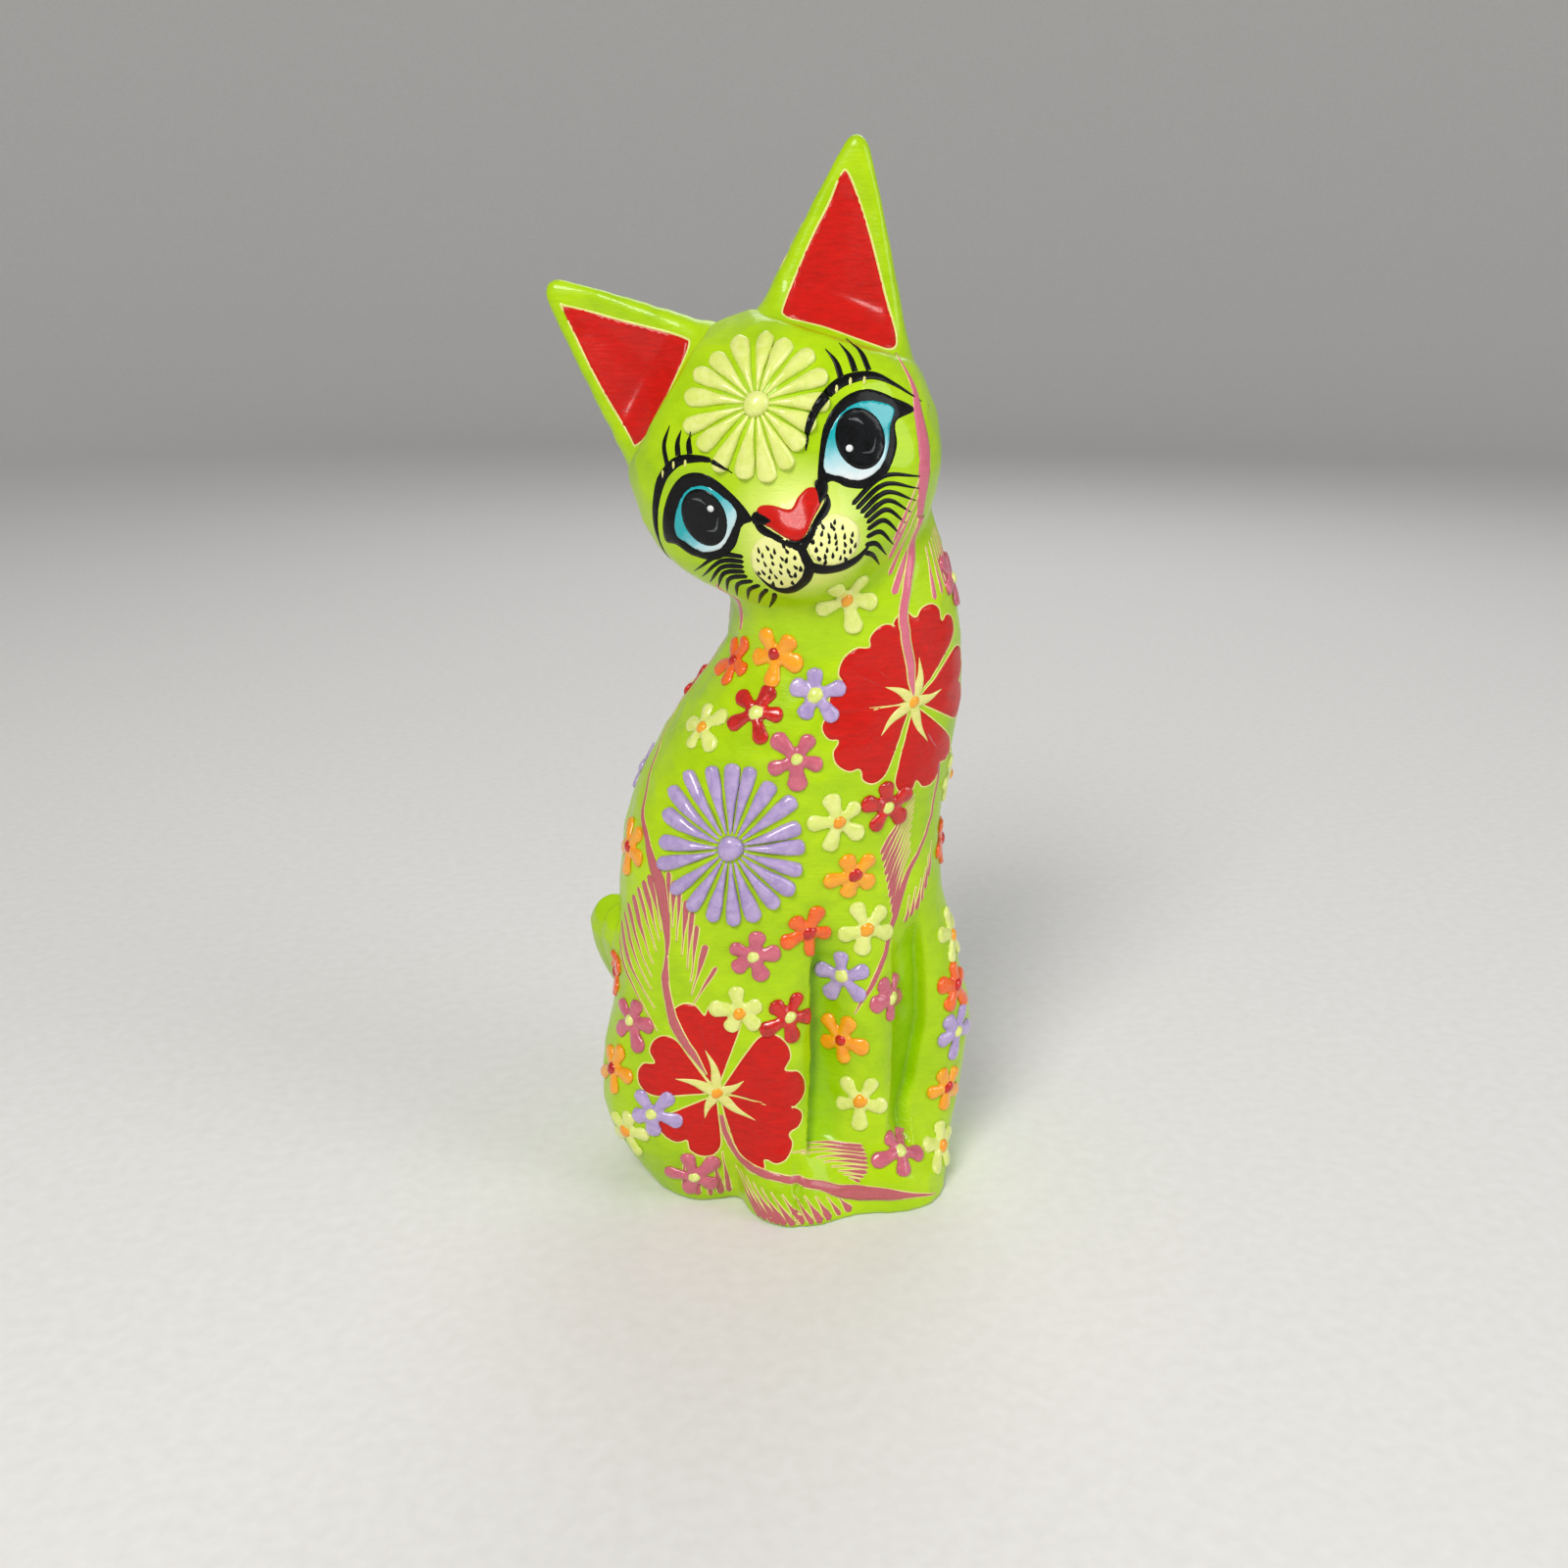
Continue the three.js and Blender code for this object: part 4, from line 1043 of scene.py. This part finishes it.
materials = {
    "lime": lime_paint("lime_paint"),
    "wood": bare_wood("bare_wood"),
    "red_paste": paste_paint("red_paste", RED, mixed(RED, BLACK, 0.18), mixed(RED, WHITE, 0.12)),
    "orange_paste": paste_paint("orange_paste", ORANGE, mixed(ORANGE, RED, 0.3), mixed(ORANGE, AMBER, 0.5)),
    "amber_paste": paste_paint("amber_paste", AMBER, mixed(AMBER, ORANGE, 0.3), mixed(AMBER, YELLOW, 0.35)),
    "yellow_paste": paste_paint("yellow_paste", YELLOW, mixed(YELLOW, LIME, 0.22), mixed(YELLOW, WHITE, 0.5)),
    "lavender_paste": paste_paint("lavender_paste", LAVENDER, mixed(LAVENDER, (110, 90, 160), 0.3),
                                  mixed(LAVENDER, WHITE, 0.35)),
    "pink_paste": paste_paint("pink_paste", PINK, mixed(PINK, (150, 50, 80), 0.3), mixed(PINK, WHITE, 0.2)),
}

body = carving(materials["lime"])
ears = [carved_ear(ear, materials["lime"]) for ear in EARS]
tail = carved_tail(materials["lime"])
skin = Skin([body, *ears, tail])

# Each coat of flat paint: its name, its paint, and the material class that it shows.
SHADY_RED = mixed(RED, BLACK, 0.14)
COATS = {
    "red": ("red_paintwork", flat_paint("red_paint", RED, SHADY_RED, 0.15, specular=0.2), "red"),
    "dark_red": ("dark_red_veins", flat_paint("dark_red_paint", mixed(RED, BLACK, 0.3), RED), "red"),
    "cream": ("pale_outlines", flat_paint("pale_yellow_paint", CREAM, mixed(CREAM, LIME, 0.3)), "yellow"),
    "pad": ("muzzle_pads", flat_paint("pad_paint", (252, 252, 176), (244, 250, 140), 0.15), "yellow"),
    "stem": ("stems_and_feathers", flat_paint("stem_paint", STEM, mixed(STEM, ROSE, 0.35)), "pink"),
    "rose": ("rose_stems", flat_paint("rose_paint", ROSE, mixed(ROSE, STEM, 0.4)), "pink"),
    "black": ("black_lines", flat_paint("black_paint", BLACK, (20, 20, 22), 0.1, specular=0.12), "black"),
    "pupil": ("pupils", flat_paint("pupil_paint", (5, 5, 6), (16, 19, 22), 0.3, (1, 1, 1), 0.1), "black"),
    "white": ("eye_glints", flat_paint("white_paint", WHITE, (226, 232, 232)), "eye_white"),
    "grey": ("pupil_sheen", flat_paint("grey_paint", (90, 96, 100), (40, 42, 44)), "black"),
    # painted shade: dark olive lines in the creases between the chest daisy's petals
    "crease_shade": ("painted_crease_shade", flat_paint("crease_shade_paint", (96, 110, 10), (130, 150, 12)), "lime"),
}
layers = {key: Layer(name, paint, slot + "_paint") for key, (name, paint, slot) in COATS.items()}
dots = {c: Layer(c + "_dots", materials[c + "_paste"], c + "_paste") for c in ("red", "amber", "yellow")}
eyeballs = []
for eye in EYES:
    x, y = eye["wash"]
    direction = (head.right * x + head.up * y).normalized()
    middle = head.at(*eye["pupil"][:2]).dot(direction)
    paint = eye_paint(f"eye_paint_{len(eyeballs) + 1}", direction, middle - 1.0, 6.0)
    eyeballs.append(Layer(f"eyeball_{len(eyeballs) + 1}", paint, "eye_blue_paint"))

chance = random.Random(11)
motifs()
for flower in HIBISCUS:
    hibiscus(flower)
for name in sorted(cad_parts):
    if name.startswith("flower_"):
        colour = name.split("_")[-1]
        raised_flower("raised_" + name, colour, chance, *packed_flower(name, 5), [name])
raised_daisy("chest_daisy", "lavender", 20, CHEST_DAISY, chance)
daisy = raised_daisy("forehead_daisy", "yellow", 17, FOREHEAD_DAISY, chance)
skin = Skin([body, *ears, tail, daisy])  # the brows are painted over the petals' tips
eyes()
nose_and_mouth()
muzzle()
ear_panels()

for layer in [*layers.values(), *dots.values(), *eyeballs]:
    layer.make()
for name in ("left_ear_peg", "right_ear_peg", "tail_peg"):
    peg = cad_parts[name]
    peg.data.materials.clear()
    peg.data.materials.append(materials["wood"])

# ---- Floor, light and camera ----


def stage():
    """A round pale floor that curves up into a wall all round."""
    mesh = bpy.data.meshes.new("floor")
    flat, cove, height, steps, columns = 1.6, 0.6, 1.2, 16, 96
    profile = [(flat * share, 0.0) for share in (0.02, 0.2, 0.5, 1.0)]
    for k in range(1, steps + 1):
        turn = math.pi / 2 * k / steps
        profile.append((flat + cove * math.sin(turn), cove * (1 - math.cos(turn))))
    profile.append((flat + cove, height))
    points = [(0, 0, 0)]
    for radius, z in profile:
        for k in range(columns):
            turn = math.tau * k / columns
            points.append((radius * math.cos(turn), radius * math.sin(turn), z))
    faces = [(0, 1 + k, 1 + (k + 1) % columns) for k in range(columns)]
    for row in range(len(profile) - 1):
        for k in range(columns):
            a, b = 1 + row * columns + k, 1 + row * columns + (k + 1) % columns
            faces.append((a, a + columns, b + columns, b))
    mesh.from_pydata(points, [], faces)
    mesh.shade_smooth()
    obj = bpy.data.objects.new("floor", mesh)
    bpy.context.scene.collection.objects.link(obj)
    nodes = Nodes("floor_paper")
    grain = nodes.noise(3, 4.0)
    colour = nodes.mix(nodes.ranged(grain, 0.3, 0.7), (236, 234, 231), (242, 240, 238))
    mesh.materials.append(nodes.finish(colour, nodes.ranged(grain, 0.3, 0.7, 0.75, 0.85), grain, 0.05, 0.0))


def lamp(name, place, target, size, power, colour=(1, 1, 1)):
    light = bpy.data.lights.new(name, "AREA")
    light.shape = "DISK"
    light.size = size
    light.energy = power
    light.color = colour
    obj = bpy.data.objects.new(name, light)
    bpy.context.scene.collection.objects.link(obj)
    obj.location = place
    obj.rotation_euler = (Vector(target) - Vector(place)).to_track_quat("-Z", "Y").to_euler()


stage()
middle_height = (0, 0, 0.1)
lamp("key", (-0.45, -0.75, 0.85), middle_height, 0.45, 8.6, (1.0, 0.98, 0.95))
lamp("fill", (0.8, -0.6, 0.45), middle_height, 0.6, 3.2, (0.97, 0.99, 1.0))
lamp("back", (0.3, 0.8, 0.8), middle_height, 0.7, 2.5)
world = bpy.data.worlds.new("studio")
world.use_nodes = True
world.node_tree.nodes["Background"].inputs["Color"].default_value = (0.9, 0.93, 0.96, 1)
world.node_tree.nodes["Background"].inputs["Strength"].default_value = 0.27
bpy.context.scene.world = world
bpy.context.scene.view_settings.view_transform = "Standard"

VIEW_HEADING = math.radians(10)
VIEW_DISTANCE = 0.305
VIEW_HEIGHT = 0.183
VIEW_PITCH = math.radians(17.8)
camera = bpy.data.objects.new("camera", bpy.data.cameras.new("camera"))
bpy.context.scene.collection.objects.link(camera)
camera.data.lens = 36
camera.data.sensor_width = 36
camera.data.clip_start = 0.01
aside, back = math.sin(VIEW_HEADING), math.cos(VIEW_HEADING)
camera.location = (-VIEW_DISTANCE * aside, -VIEW_DISTANCE * back, VIEW_HEIGHT)
camera.rotation_euler = (math.pi / 2 - VIEW_PITCH, 0, -VIEW_HEADING)
bpy.context.scene.camera = camera
